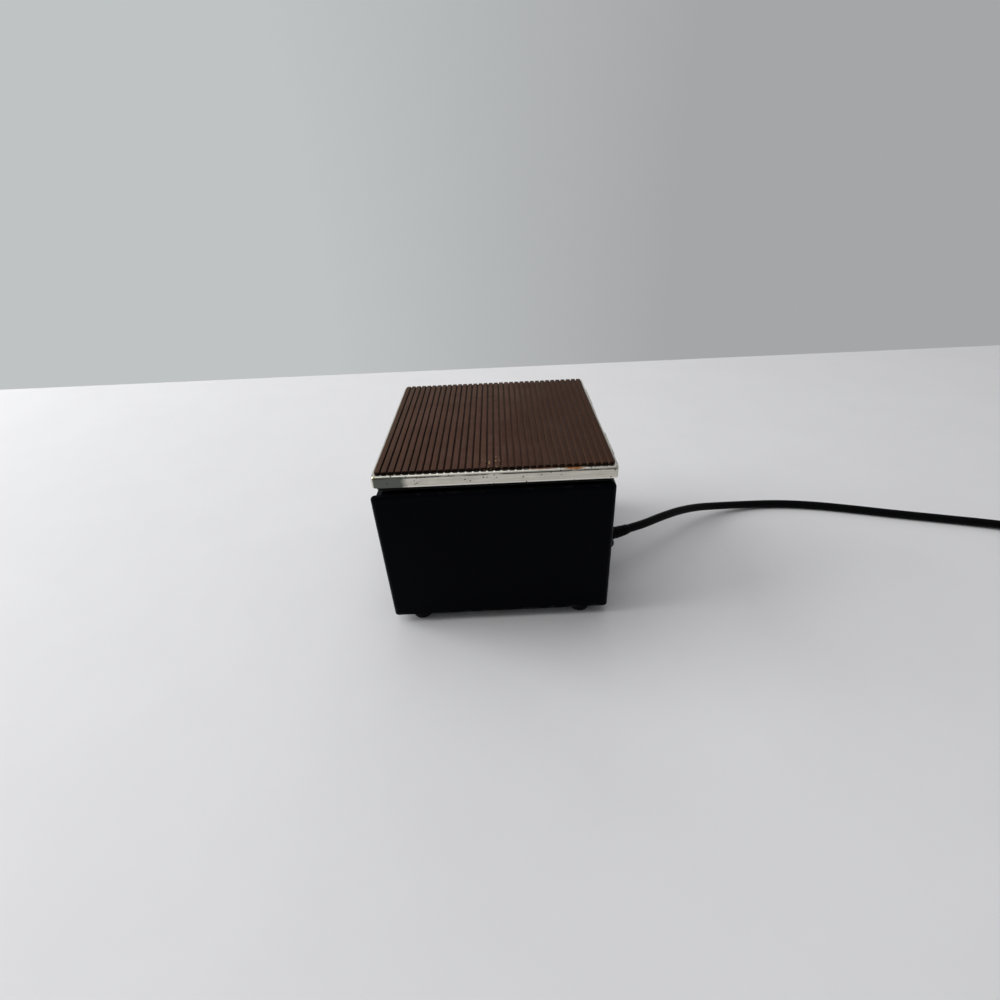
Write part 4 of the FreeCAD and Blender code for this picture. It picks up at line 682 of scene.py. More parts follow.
def islands(node):
    """The box of each separate solid in a CAD node, as (lowest corner, highest corner)."""
    shape = merged(node)
    left = set(shape.verts)
    boxes = []
    while left:
        reached = [left.pop()]
        for vertex in reached:
            for edge in vertex.link_edges:
                other = edge.other_vert(vertex)
                if other in left:
                    left.remove(other)
                    reached.append(other)
        spots = [v.co.copy() for v in reached]
        lowest = Vector(min(p[k] for p in spots) for k in range(3))
        highest = Vector(max(p[k] for p in spots) for k in range(3))
        boxes.append((lowest, highest))
    shape.free()
    return sorted(boxes, key=lambda box: tuple(box[0]))


def new_tree(name, inputs):
    """A Geometry Nodes tree with named inputs, and its input node's outputs by name."""
    tree = bpy.data.node_groups.new(name, "GeometryNodeTree")
    tree.interface.new_socket(name="Geometry", in_out="OUTPUT", socket_type="NodeSocketGeometry")
    tree.interface.new_socket(name="Geometry", in_out="INPUT", socket_type="NodeSocketGeometry")
    for label, kind in inputs.items():
        tree.interface.new_socket(name=label, in_out="INPUT", socket_type=f"NodeSocket{kind}")
    return tree, add(tree, "NodeGroupInput").outputs


def end_tree(tree, geometry, material):
    """Close a tree: real geometry, its material, and the output."""
    real = add(tree, "GeometryNodeRealizeInstances", (geometry,)).outputs[0]
    smooth = add(tree, "GeometryNodeSetShadeSmooth", (real,)).outputs[0]
    dressed = add(tree, "GeometryNodeSetMaterial", {"Geometry": smooth, "Material": material})
    add(tree, "NodeGroupOutput", (dressed.outputs[0],))
    return tree


def grown(name, tree, mesh, values, angle=32):
    """Run a tree on a mesh with its inputs set by name, and keep the result as a plain mesh."""
    piece = linked(name, mesh)
    modifier = piece.modifiers.new("Grow", "NODES")
    modifier.node_group = tree
    for item in tree.interface.items_tree:
        if item.in_out == "INPUT" and item.name in values:
            modifier[item.identifier] = values[item.name]
    plain(piece)
    shaded(piece.data, angle)
    return piece


def heads_tree(name, crossed):
    """A tree that puts a domed head and shank on each point, facing the point's own way."""
    inputs = {
        "Head Diameter": "Float",
        "Head Height": "Float",
        "Shank Diameter": "Float",
        "Shank Length": "Float",
        "Seed": "Int",
        "Material": "Material",
    }
    tree, given = new_tree(name, inputs)
    radius = add(tree, "ShaderNodeMath", (given["Head Diameter"], 0.5), operation="MULTIPLY").outputs[0]
    facets = {"Vertices": 36, "Side Segments": 3, "Fill Segments": 6}
    round_head = {**facets, "Radius": radius, "Depth": given["Head Height"]}
    disc = add(tree, "GeometryNodeMeshCylinder", round_head).outputs[0]
    spot = add(tree, "GeometryNodeInputPosition").outputs[0]
    axes = add(tree, "ShaderNodeSeparateXYZ", (spot,)).outputs
    flat = add(tree, "ShaderNodeCombineXYZ", (axes[0], axes[1])).outputs[0]
    out = add(tree, "ShaderNodeVectorMath", (flat,), operation="LENGTH").outputs["Value"]
    share = add(tree, "ShaderNodeMath", (out, radius), operation="DIVIDE").outputs[0]
    curved = add(tree, "ShaderNodeMath", (share, 2.6), operation="POWER").outputs[0]
    drop = add(tree, "ShaderNodeMath", (curved, -0.6, 1.0), operation="MULTIPLY_ADD").outputs[0]
    half = add(tree, "ShaderNodeMath", (given["Head Height"], 0.5), operation="MULTIPLY").outputs[0]
    tall = add(tree, "ShaderNodeMath", (axes[2], half), operation="ADD").outputs[0]
    domed = add(tree, "ShaderNodeMath", (tall, drop), operation="MULTIPLY").outputs[0]
    shaped = add(tree, "ShaderNodeCombineXYZ", (axes[0], axes[1], domed)).outputs[0]
    head = add(tree, "GeometryNodeSetPosition", {"Geometry": disc, "Position": shaped}).outputs[0]
    # The two slots of a cross as shares of the head: width, depth and height of the middle. One is a little deeper
    # than the other, so that their floors don't fall together.
    for wide, deep, middle in ((0.56, 0.13, 1.0), (0.13, 0.56, 0.94)) if crossed else ():
        across = add(tree, "ShaderNodeMath", (given["Head Diameter"], wide), operation="MULTIPLY").outputs[0]
        along = add(tree, "ShaderNodeMath", (given["Head Diameter"], deep), operation="MULTIPLY").outputs[0]
        extent = add(tree, "ShaderNodeCombineXYZ", (across, along, given["Head Height"])).outputs[0]
        cube = add(tree, "GeometryNodeMeshCube", {"Size": extent}).outputs[0]
        tall = add(tree, "ShaderNodeMath", (given["Head Height"], middle), operation="MULTIPLY").outputs[0]
        lift = add(tree, "ShaderNodeCombineXYZ", {2: tall}).outputs[0]
        raised = add(tree, "GeometryNodeTransform", {"Geometry": cube, "Translation": lift}).outputs[0]
        cut = {"Mesh 1": head, "Mesh 2": raised}
        head = add(tree, "GeometryNodeMeshBoolean", cut, operation="DIFFERENCE").outputs[0]
    thin = add(tree, "ShaderNodeMath", (given["Shank Diameter"], 0.5), operation="MULTIPLY").outputs[0]
    round_shank = {"Vertices": 20, "Radius": thin, "Depth": given["Shank Length"]}
    shank = add(tree, "GeometryNodeMeshCylinder", round_shank).outputs[0]
    below = add(tree, "ShaderNodeMath", (given["Shank Length"], -0.5), operation="MULTIPLY").outputs[0]
    offset = add(tree, "ShaderNodeCombineXYZ", {2: below}).outputs[0]
    lowered = add(tree, "GeometryNodeTransform", {"Geometry": shank, "Translation": offset}).outputs[0]
    whole = add(tree, "GeometryNodeJoinGeometry", (head,))
    tree.links.new(lowered, whole.inputs[0])
    way = add(tree, "GeometryNodeInputNamedAttribute", {"Name": "way"}, data_type="FLOAT_VECTOR").outputs[0]
    facing = add(tree, "FunctionNodeAlignRotationToVector", {"Vector": way}, axis="Z").outputs[0]
    spin = add(tree, "FunctionNodeRandomValue", {"Max": 3.14, "Seed": given["Seed"]}, data_type="FLOAT")
    turn = add(tree, "FunctionNodeAxisAngleToRotation", {"Angle": spin.outputs[1]}).outputs[0]
    turned = add(tree, "FunctionNodeRotateRotation", (facing, turn), rotation_space="LOCAL").outputs[0]
    seats = {"Points": given["Geometry"], "Instance": whole.outputs[0], "Rotation": turned}
    placed = add(tree, "GeometryNodeInstanceOnPoints", seats).outputs[0]
    return end_tree(tree, placed, given["Material"])


def fastened(node, material, seats, way, head, shank, crossed=True, seed=1):
    """Screws or rivets at the given seats. Way is one direction or a list of them, and head and shank are diameter
    and length in millimetres."""
    mesh = bpy.data.meshes.new(node)
    mesh.from_pydata([tuple(seat) for seat in seats], [], [])
    ways = way if isinstance(way, list) else [way] * len(seats)
    stored = mesh.attributes.new("way", "FLOAT_VECTOR", "POINT")
    for item, direction in zip(stored.data, ways):
        item.vector = direction
    tree_name = "CrossHeadScrews" if crossed else "DomedRivets"
    tree = bpy.data.node_groups.get(tree_name) or heads_tree(tree_name, crossed)
    values = {
        "Head Diameter": head[0] * MM,
        "Head Height": head[1] * MM,
        "Shank Diameter": shank[0] * MM,
        "Shank Length": shank[1] * MM,
        "Seed": seed,
        "Material": finish(material),
    }
    return stand_in(grown(f"{node}_finished", tree, mesh, values, 40), material, node)


def mat_tree():
    """A tree that repeats the rib it is given in a row on a sheet, all cut to the sheet's rounded corners."""
    inputs = {
        "Ribs": "Int",
        "Width": "Float",
        "Depth": "Float",
        "Base": "Float",
        "Corner": "Float",
        "Sway": "Float",
        "Material": "Material",
    }
    tree, given = new_tree("RibbedMat", inputs)
    corner = given["Corner"]
    pitch = add(tree, "ShaderNodeMath", (given["Width"], given["Ribs"]), operation="DIVIDE").outputs[0]
    spare = add(tree, "ShaderNodeMath", (pitch, given["Width"]), operation="SUBTRACT").outputs[0]
    first = add(tree, "ShaderNodeMath", (spare, 0.5), operation="MULTIPLY").outputs[0]
    start = add(tree, "ShaderNodeCombineXYZ", (first,)).outputs[0]
    step = add(tree, "ShaderNodeCombineXYZ", (pitch,)).outputs[0]
    row = {"Count": given["Ribs"], "Start Location": start, "Offset": step}
    points = add(tree, "GeometryNodeMeshLine", row).outputs[0]
    ribs = add(tree, "GeometryNodeInstanceOnPoints", {"Points": points, "Instance": given["Geometry"]}).outputs[0]
    real = add(tree, "GeometryNodeRealizeInstances", (ribs,)).outputs[0]
    # A rib that stands in a rounded corner ends where the corner's curve is.
    spot = add(tree, "GeometryNodeInputPosition").outputs[0]
    axes = add(tree, "ShaderNodeSeparateXYZ", (spot,)).outputs
    aside = add(tree, "ShaderNodeMath", (axes[0],), operation="ABSOLUTE").outputs[0]
    half = add(tree, "ShaderNodeMath", (given["Width"], 0.5), operation="MULTIPLY").outputs[0]
    inner = add(tree, "ShaderNodeMath", (half, corner), operation="SUBTRACT").outputs[0]
    past = add(tree, "ShaderNodeMath", (aside, inner), operation="SUBTRACT").outputs[0]
    into = add(tree, "ShaderNodeClamp", {"Value": past, "Min": 0.0, "Max": corner}).outputs[0]
    squared = add(tree, "ShaderNodeMath", (into, into), operation="MULTIPLY").outputs[0]
    whole = add(tree, "ShaderNodeMath", (corner, corner), operation="MULTIPLY").outputs[0]
    left = add(tree, "ShaderNodeMath", (whole, squared), operation="SUBTRACT").outputs[0]
    curve = add(tree, "ShaderNodeMath", (left,), operation="SQRT").outputs[0]
    lost = add(tree, "ShaderNodeMath", (corner, curve), operation="SUBTRACT").outputs[0]
    reach = add(tree, "ShaderNodeMath", (lost, given["Depth"]), operation="DIVIDE").outputs[0]
    share = add(tree, "ShaderNodeMath", (reach, -2.0, 1.0), operation="MULTIPLY_ADD").outputs[0]
    trimmed = add(tree, "ShaderNodeMath", (axes[1], share), operation="MULTIPLY").outputs[0]
    # Moulded rubber is never quite straight: each rib wanders a little sideways.
    noise = add(tree, "ShaderNodeTexNoise", {"Vector": spot, "Scale": 1 / (22 * MM), "Detail": 2.0}).outputs[0]
    lean = add(tree, "ShaderNodeMath", (noise, 0.5), operation="SUBTRACT").outputs[0]
    sideways = add(tree, "ShaderNodeMath", (lean, given["Sway"], axes[0]), operation="MULTIPLY_ADD").outputs[0]
    place = add(tree, "ShaderNodeCombineXYZ", (sideways, trimmed, axes[2])).outputs[0]
    ribs = add(tree, "GeometryNodeSetPosition", {"Geometry": real, "Position": place}).outputs[0]
    outline = {"Width": given["Width"], "Height": given["Depth"]}
    square = add(tree, "GeometryNodeCurvePrimitiveQuadrilateral", outline).outputs[0]
    rounding = {"Curve": square, "Count": 8, "Radius": corner}
    rounded = add(tree, "GeometryNodeFilletCurve", rounding, mode="POLY").outputs[0]
    floor = add(tree, "GeometryNodeFillCurve", {"Curve": rounded}, mode="NGONS").outputs[0]
    lift = {"Mesh": floor, "Offset": (0, 0, 1), "Offset Scale": given["Base"], "Individual": False}
    raised = add(tree, "GeometryNodeExtrudeMesh", lift, mode="FACES").outputs[0]
    under = add(tree, "GeometryNodeFlipFaces", (floor,)).outputs[0]
    sheet = add(tree, "GeometryNodeJoinGeometry", (raised,))
    tree.links.new(under, sheet.inputs[0])
    closed = add(tree, "GeometryNodeMergeByDistance", (sheet.outputs[0],)).outputs[0]
    mat = add(tree, "GeometryNodeJoinGeometry", (closed,))
    tree.links.new(ribs, mat.inputs[0])
    return end_tree(tree, mat.outputs[0], given["Material"])


def relief_axis(share):
    """A point on the bent strain relief's middle line, and the line's direction there."""
    turn = share * RELIEF_LENGTH / RELIEF_BEND
    sideways = Vector((0, math.cos(RELIEF_ROLL), -math.sin(RELIEF_ROLL)))
    point = RELIEF_WALL + Vector((RELIEF_BEND * math.sin(turn), 0, 0))
    point += sideways * RELIEF_BEND * (1 - math.cos(turn))
    return point, Vector((math.cos(turn), 0, 0)) + sideways * math.sin(turn)


def eased(value, start, end):
    """0 before start, 1 after end, and a smooth step between them."""
    share = min(1.0, max(0.0, (value - start) / (end - start)))
    return share * share * (3 - 2 * share)


def coil_points():
    """Points of the put-away coil: three turns inwards on the bench, then back outwards on top of them."""
    step = 15.0
    outer, between, inner = COIL_RADII
    # The parts of the turn, in degrees, over which the lead moves in or out by one turn, and climbs on top.
    moves = ((290, 365, between - outer), (650, 725, inner - between))
    moves += ((1250, 1325, between - inner), (1610, 1685, outer - between))
    climb = (940, 1030)
    # A spline of this order runs inside its points, so they stand out by that much.
    stand_out = 1 / (0.75 + 0.25 * math.cos(math.radians(step)))
    points = []
    for i in range(int(COIL_TURN / step) + 1):
        turned = i * step
        radius = outer + sum(change * eased(turned, start, end) for start, end, change in moves)
        height = COIL_LEVELS[0] + (COIL_LEVELS[1] - COIL_LEVELS[0]) * eased(turned, *climb)
        angle = math.radians(COIL_START - turned)
        spot = COIL + Vector((math.cos(angle), math.sin(angle), 0)) * radius * stand_out
        points.append((spot.x, spot.y, height))
    return points


class HEATER_OT_stage(bpy.types.Operator):
    """Pale floor, soft studio light and the camera at the photograph's angle"""

    bl_idname = "heater.stage"
    bl_label = "Stage, light and camera"

    def execute(self, context):
        self.floor()
        self.sky(context.scene)
        self.lamps()
        self.camera(context.scene)
        context.scene.view_settings.view_transform = "Standard"
        return {"FINISHED"}

    def floor(self):
        """A wide sheet of painted board."""
        shape = bmesh.new()
        shape.faces.new([shape.verts.new(corner) for corner in FLOOR_CORNERS])
        floor = meshed("floor", shape)
        # Painted board: plain, pale and matt, with a hardly visible cloudiness.
        made, tree, place = blank("pale_floor")
        pale = {0: mottle(tree, place, 90, 0.3, 0.7, 3), 6: linear("#e6e6e7"), 7: linear("#e4e4e5")}
        colour = add(tree, "ShaderNodeMix", pale, data_type="RGBA").outputs[2]
        floor.data.materials.append(
            surfaced(made, {"Base Color": colour, "Roughness": 0.6, "Specular IOR Level": 0.2})
        )

    def sky(self, scene):
        """A grey wall for rays from the camera, mirrors and glass. All others meet soft light, most of it from above
        and some from behind and from the left."""
        scene.world = bpy.data.worlds.new("studio")
        scene.world.use_nodes = True
        tree = scene.world.node_tree
        tree.nodes.clear()
        rays = add(tree, "ShaderNodeLightPath").outputs
        mirrored = (rays["Is Glossy Ray"], rays["Is Transmission Ray"])
        seen = add(tree, "ShaderNodeMath", mirrored, operation="MAXIMUM").outputs[0]
        seen = add(tree, "ShaderNodeMath", (seen, rays["Is Camera Ray"]), operation="MAXIMUM").outputs[0]
        around = add(tree, "ShaderNodeTexCoord").outputs["Generated"]
        aside = add(tree, "ShaderNodeSeparateXYZ", (around,)).outputs[0]
        aside = add(tree, "ShaderNodeMapRange", {"Value": aside, "From Min": -0.3, "From Max": 0.3}).outputs[0]
        shade = {0: aside, 6: linear("#bfc3c4"), 7: linear("#a5a6a8")}
        shade = add(tree, "ShaderNodeMix", shade, data_type="RGBA").outputs[2]
        wall = add(tree, "ShaderNodeBackground", (shade, 1.0)).outputs[0]
        lean = add(tree, "ShaderNodeVectorMath", (around, SKY_LEAN), operation="DOT_PRODUCT").outputs["Value"]
        soft = add(tree, "ShaderNodeMath", (lean, SKY_LOSS), operation="ADD", use_clamp=True).outputs[0]
        fill = add(tree, "ShaderNodeBackground", ((1.0, 1.0, 1.02), soft)).outputs[0]
        mixed = add(tree, "ShaderNodeMixShader", (seen, fill, wall)).outputs[0]
        add(tree, "ShaderNodeOutputWorld", {"Surface": mixed})

    def lamps(self):
        """Square lamps that the camera doesn't see."""
        for name, (spot, target, width, power) in LAMPS.items():
            lamp = bpy.data.lights.new(name, "AREA")
            lamp.shape = "SQUARE"
            lamp.size = width
            lamp.energy = power
            holder = linked(name, lamp)
            holder.location = spot
            holder.visible_camera = False
            holder.rotation_euler = (Vector(target) - Vector(spot)).to_track_quat("-Z", "Y").to_euler()

    def camera(self, scene):
        """The camera at the photograph's angle."""
        lens = bpy.data.cameras.new("camera")
        lens.sensor_width = CAMERA_SENSOR
        lens.lens = CAMERA_LENS
        lens.clip_start = 0.01
        scene.camera = linked("camera", lens)
        turn = Matrix((CAMERA_RIGHT, CAMERA_UP, CAMERA_BACK)).transposed().to_4x4()
        scene.camera.matrix_world = Matrix.Translation(CAMERA_SPOT) @ turn


class HEATER_OT_mains_lead(bpy.types.Operator):
    """The mains lead with its strain relief, put-away coil, tie and plug"""

    bl_idname = "heater.mains_lead"
    bl_label = "Mains lead"

    def execute(self, context):
        diameter = sizes().cord_diameter
        tip = relief_axis(1.0)[0]
        inside = relief_axis(0.75)[0]
        curve = bpy.data.curves.new("mains_lead", "CURVE")
        curve.dimensions = "3D"
        spline = curve.splines.new("NURBS")
        end = [PLUG_START + Vector((0, y, 0)) for y in (0.034, 0.020, 0.006, -0.004)]
        route = [inside, tip, *LEAD_ROUTE, *coil_points(), *end]
        spline.points.add(len(route) - 1)
        for point, spot in zip(spline.points, route):
            point.co = (*spot, 1.0)
        spline.order_u = 3
        spline.use_endpoint_u = True
        spline.resolution_u = 6
        curve.bevel_depth = diameter / 2
        curve.bevel_resolution = 6
        curve.use_fill_caps = True
        lead = linked("mains_lead", curve)
        settle(lead, "extruded_pvc", "case", "cord_rubber", "power_cord", "cord_coil", "cord_tail")
        relief = self.relief()
        plug = self.plug()
        pins = refined("plug_pins", "bright_brass", 0.35)
        tie = refined("cord_tie", "moulded_rubber", 0.4)
        refined("inner_cord", "extruded_pvc")
        return {"FINISHED"}

    def relief(self):
        """A tapered sleeve with moulded rings, bent the way the lead pulls it, on a collar in the wall."""
        collar = 7.7
        seat = ((-4.0, 6.9), (-4.0, collar), (-1.5, collar), (-1.5, 6.0), (0.0, 6.0), (0.0, 7.3), (0.4, collar))
        stations = [(RELIEF_WALL + OUT * x * MM, OUT, radius) for x, radius in seat]
        # Along the sleeve in millimetres: the collar's end, the first and last ring, and the tip's rounding.
        collar_end, first_ring, last_ring, tip_round = 2.5, 4.5, 27.0, 29.2
        ring_pitch, ring_depth, tip_depth = 3.75, 0.45, 0.5
        wide_end, taper = 6.6, 2.1
        steps = 60
        for i in range(steps + 1):
            share = i / steps
            point, along = relief_axis(share)
            far = share * RELIEF_LENGTH / MM
            radius = wide_end - taper * share
            if far < collar_end:
                radius = collar
            elif far < first_ring:
                radius += (collar - radius) * 0.35 * (1 - (far - collar_end) / (first_ring - collar_end)) ** 2
            elif far < last_ring:
                radius -= ring_depth * eased(math.cos((far - first_ring) * 2 * math.pi / ring_pitch), 0.55, 0.95)
            if far > tip_round:
                radius -= tip_depth * ((far - tip_round) / (RELIEF_LENGTH / MM - tip_round)) ** 2
            stations.append((point, along, radius))
        sections = []
        for point, along, radius in stations:
            right = along.cross(UP).normalized()
            sections.append((point, right, right.cross(along), radius * MM, radius * MM, 2.0))
        sleeve = lofted("strain_relief_sleeve", sections, 40)
        return stand_in(sleeve, "extruded_pvc", "strain_relief")

    def plug(self):
        """A moulded plug: a ringed neck, sloping shoulders, hollowed grips and a flat face."""
        # Distance from the lead, half width, half height and squareness.
        profile = [
            (-0.4, 3.95, 3.95, 2.0), (0.0, 4.2, 4.2, 2.0), (1.6, 4.6, 4.6, 2.0), (2.0, 4.1, 4.1, 2.0),
            (3.4, 4.1, 4.1, 2.0), (3.8, 5.0, 5.0, 2.0), (5.6, 5.1, 5.1, 2.0), (6.0, 4.4, 4.4, 2.0),
            (7.4, 4.4, 4.4, 2.0), (7.8, 5.5, 5.5, 2.0), (9.6, 5.6, 5.6, 2.0), (10.0, 4.9, 4.9, 2.0),
            (11.4, 4.9, 4.9, 2.0), (12.0, 6.0, 6.0, 2.0), (14.5, 6.4, 6.2, 2.2), (17.0, 8.2, 7.0, 2.6),
            (19.5, 10.4, 7.8, 3.4), (23.0, 11.4, 8.6, 4.0), (28.0, 12.0, 9.4, 4.4), (34.0, 12.6, 10.4, 4.6),
            (38.5, 13.6, 11.5, 4.8), (42.0, 14.8, 12.4, 5.0), (45.0, 15.3, 12.75, 5.0), (48.2, 15.5, 12.85, 5.0),
            (48.8, 15.3, 12.6, 5.0), (49.0, 14.9, 12.2, 5.0),
        ]
        sections = [
            (PLUG_START - Vector((0, far * MM, 0)), OUT, UP, wide * MM, high * MM, square)
            for far, wide, high, square in profile
        ]
        return stand_in(lofted("plug_moulding", sections, 64), "extruded_pvc", "plug_body")


class HEATER_OT_mat(bpy.types.Operator):
    """The ribbed rubber mat on the lid"""

    bl_idname = "heater.mat"
    bl_label = "Lid mat"

    def execute(self, context):
        chosen = sizes()
        rib = self.rib(chosen)
        values = {
            "Ribs": chosen.rib_count,
            "Width": chosen.mat_width,
            "Depth": chosen.mat_depth,
            "Base": chosen.mat_base,
            "Corner": chosen.mat_corner,
            "Sway": 0.5 * MM,
            "Material": finish("ribbed_rubber"),
        }
        mat = grown("lid_mat_ribbed", mat_tree(), rib, values)
        mat.data.transform(ON_LID @ Matrix.Translation((LID_MIDDLE * MM, 0, MAT_SEAT * MM)))
        stand_in(mat, "ribbed_rubber", "lid_mat")
        return {"FINISHED"}

    def rib(self, chosen):
        """One moulded rib with rounded ends and edges, which keeps its height as a share on its points."""
        width = chosen.mat_width / chosen.rib_count - chosen.groove_width
        top = chosen.mat_base + chosen.rib_height
        low = chosen.mat_base * 0.2
        half = chosen.mat_depth / 2
        edge = chosen.rib_edge
        steps = [edge * (1 - math.cos(math.radians(a))) for a in (0, 20, 40, 60, 80, 90)]
        ends = [half - step for step in steps]
        between = [(half - edge) * (1 - i / 12) for i in range(1, 12)]
        sections = []
        for y in [*ends, *between, 0.0, *(-y for y in reversed(between)), *(-y for y in reversed(ends))]:
            short = max(0.0, edge - (half - abs(y)))
            inset = edge - math.sqrt(edge * edge - short * short)
            middle = Vector((0, y, (top - inset + low) / 2))
            tall = (top - inset - low) / 2
            sections.append((middle, OUT, UP, width / 2 - inset, tall, 4.5))
        piece = lofted("rib", sections, 28)
        mesh = piece.data
        bpy.data.objects.remove(piece)
        stored = mesh.attributes.new("rib_height", "FLOAT", "POINT")
        for item, vertex in zip(stored.data, mesh.vertices):
            item.value = (vertex.co.z - low) / (top - low)
        return mesh


class HEATER_OT_lid(bpy.types.Operator):
    """The lid's steel pan, its board and the screws that hold the board"""

    bl_idname = "heater.lid"
    bl_label = "Lid pan and board"

    def execute(self, context):
        refined("lid_tray", "rolled_steel")
        refined("lid_board", "pressed_board", 0.4)
        seats = []
        for x in (LID_MIDDLE - LID_SCREW_ALONG, LID_MIDDLE + LID_SCREW_ALONG):
            for y in (-LID_SCREW_ASIDE, LID_SCREW_ASIDE):
                seats.append(ON_LID @ Vector((x * MM, y * MM, LID_SCREW_SEAT * MM)))
        fastened("lid_screws", "plated_steel", seats, ON_LID.to_3x3() @ -UP, (8.0, 2.5), (4.0, 9.0), seed=5)
        return {"FINISHED"}


class HEATER_OT_hinges(bpy.types.Operator):
    """Both hinges with their leaves, pins and rivets"""

    bl_idname = "heater.hinges"
    bl_label = "Hinges"

    def execute(self, context):
        for side in ("near", "far"):
            for piece in ("case_leaf", "lid_leaf", "pin"):
                refined(f"hinge_{side}_{piece}", "plated_steel", 0.2)
        head = (4.6, 1.0)
        for node, way in (("hinge_case_rivets", OUT), ("hinge_lid_rivets", ON_LID.to_3x3() @ OUT)):
            seats = [Vector((high.x - head[1] * MM, *((low + high) / 2).yz)) for low, high in islands(node)]
            fastened(node, "plated_steel", seats, way, head, (2.5, 2.7), crossed=False)
        return {"FINISHED"}


class HEATER_OT_case(bpy.types.Operator):
    """The enamelled case, its base plate, feet and screws"""

    bl_idname = "heater.case"
    bl_label = "Case, base and feet"

    def execute(self, context):
        # The drawn shell has thin slivers round its finger recess, so its points are merged further than others.
        refined("housing", "stove_enamel", merge=0.08)
        refined("chassis", "zinc_plate", 0.3)
        head = (7.0, 2.8)
        seats = []
        ways = []
        for low, high in islands("case_screws"):
            way, face = (OUT, high) if low.x > 0 else (-OUT, low)
            seats.append(Vector((face.x - way.x * head[1] * MM, *((low + high) / 2).yz)))
            ways.append(way)
        fastened("case_screws", "blackened_steel", seats, ways, head, (4.0, 5.0), seed=3)
        # A foot's radius and height, from its top round its outside to the hole for its screw.
        profile = [
            (2.1, 9.0), (8.5, 9.0), (8.5, 7.4), (8.2, 7.0), (8.2, 6.2), (8.45, 5.8), (7.7, 0.9), (7.2, 0.0),
            (4.5, 0.0), (4.5, 5.0), (2.1, 5.0),
        ]
        for side in ("near", "far"):
            for end in ("front", "rear"):
                node = f"foot_{side}_{end}"
                low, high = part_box(node)
                middle = Matrix.Translation(((low.x + high.x) / 2, (low.y + high.y) / 2, 0))
                stand_in(lathe(f"{node}_moulded", profile, 48, middle, 0.2), "moulded_rubber", node)
        head = (7.6, 2.4)
        seats = [Vector((*((low + high) / 2).xy, low.z + head[1] * MM)) for low, high in islands("foot_screws")]
        fastened("foot_screws", "plated_steel", seats, -UP, head, (4.0, 8.0), seed=8)
        return {"FINISHED"}


class HEATER_OT_blocks(bpy.types.Operator):
    """The drilled heating blocks, their pan and what heats them"""

    bl_idname = "heater.blocks"
    bl_label = "Blocks and heating"

    def execute(self, context):
        refined("heating_block_near", "machined_aluminium")
        refined("heating_block_far", "machined_aluminium")
        refined("block_pan", "pressed_aluminium")
        refined("heater_plate", "silicone_heater", 0.6)
        refined("thermal_cutout", "filled_phenolic", 0.3)
        refined("insulation", "glass_fibre_wool", 1.0)
        refined("sensor_bulb", "drawn_copper", 0.5)
        refined("capillary_tube", "drawn_copper")
        return {"FINISHED"}


class HEATER_OT_thermostat(bpy.types.Operator):
    """The thermostat, its nut and shaft, the knob and the printed scale round it"""

    bl_idname = "heater.thermostat"
    bl_label = "Thermostat, knob and scale"

    def execute(self, context):
        refined("thermostat_body", "zinc_plate", 0.5)
        refined("thermostat_nut", "turned_brass", 0.3)
        refined("thermostat_shaft", "plated_steel", 0.3)
        refined("terminal_block", "white_nylon", 0.5)
        refined("control_knob", "moulded_phenolic")
        self.pointer()
        self.scale()
        return {"FINISHED"}

    def pointer(self):
        """White paint in the knob's groove, and a line on its skirt below the groove."""
        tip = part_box("control_knob")[0].x
        shape = bmesh.new()
        width = 1.2
        # Depth behind the knob's face, thickness, and start and end from its axis, in millimetres.
        for deep, thick, start, end in ((0.35, 0.4, 0.5, 12.6), (15.0, 0.1, 16.5, 21.2)):
            spot = Vector((deep, (start + end) / 2, 0)) * MM + OUT * tip
            place = Matrix.Translation(spot) @ Matrix.Diagonal((thick * MM, (end - start) * MM, width * MM, 1))
            bmesh.ops.create_cube(shape, size=1.0, matrix=place)
        to_zero = Matrix.Rotation(math.radians(-45), 4, "X")
        bmesh.ops.transform(shape, matrix=Matrix.Translation((0, KNOB.y, KNOB.z)) @ to_zero, verts=shape.verts)
        settle(meshed("pointer_paint", shape), "dial_paint", "knob", "knob_phenolic")

    def scale(self):
        """Numbers 0 to 10 and ticks, from the knob's rest round to the end of its turn."""
        chosen = sizes()
        shape = bmesh.new()
        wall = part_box("housing")[0].x
        full = JOINTS["knob_turn"]["range_deg"][1]
        panel = Matrix.Translation((wall, KNOB.y, KNOB.z)) @ ON_PANEL
        for number in range(11):
            heading = math.radians(SCALE_ZERO - full * number / 10)
            away = Vector((math.cos(heading), math.sin(heading), 0))
            words = bpy.data.curves.new("number", "FONT")
            words.body = str(number)
            words.size = chosen.number_height * 1.4
            words.align_x = "CENTER"
            words.align_y = "CENTER"
            words.extrude = 0.03 * MM
            holder = linked("number", words)
            printed = baked(holder)
            bpy.data.objects.remove(holder)
            printed.transform(panel @ Matrix.Translation(away * chosen.scale_radius))
            shape.from_mesh(printed)
        for tick in range(51):
            heading = math.radians(SCALE_ZERO - full * tick / 50)
            long, wide = (1.4, 0.25) if tick % 5 else (2.6, 0.45)
            bar = Matrix.Rotation(heading, 4, "Z") @ Matrix.Translation(((TICK_RADIUS + long / 2) * MM, 0, 0))
            bar = panel @ bar @ Matrix.Diagonal((long * MM, wide * MM, 0.06 * MM, 1))
            bmesh.ops.create_cube(shape, size=1.0, matrix=bar)
        settle(meshed("dial_scale", shape), "dial_paint", "case", "black_enamel")


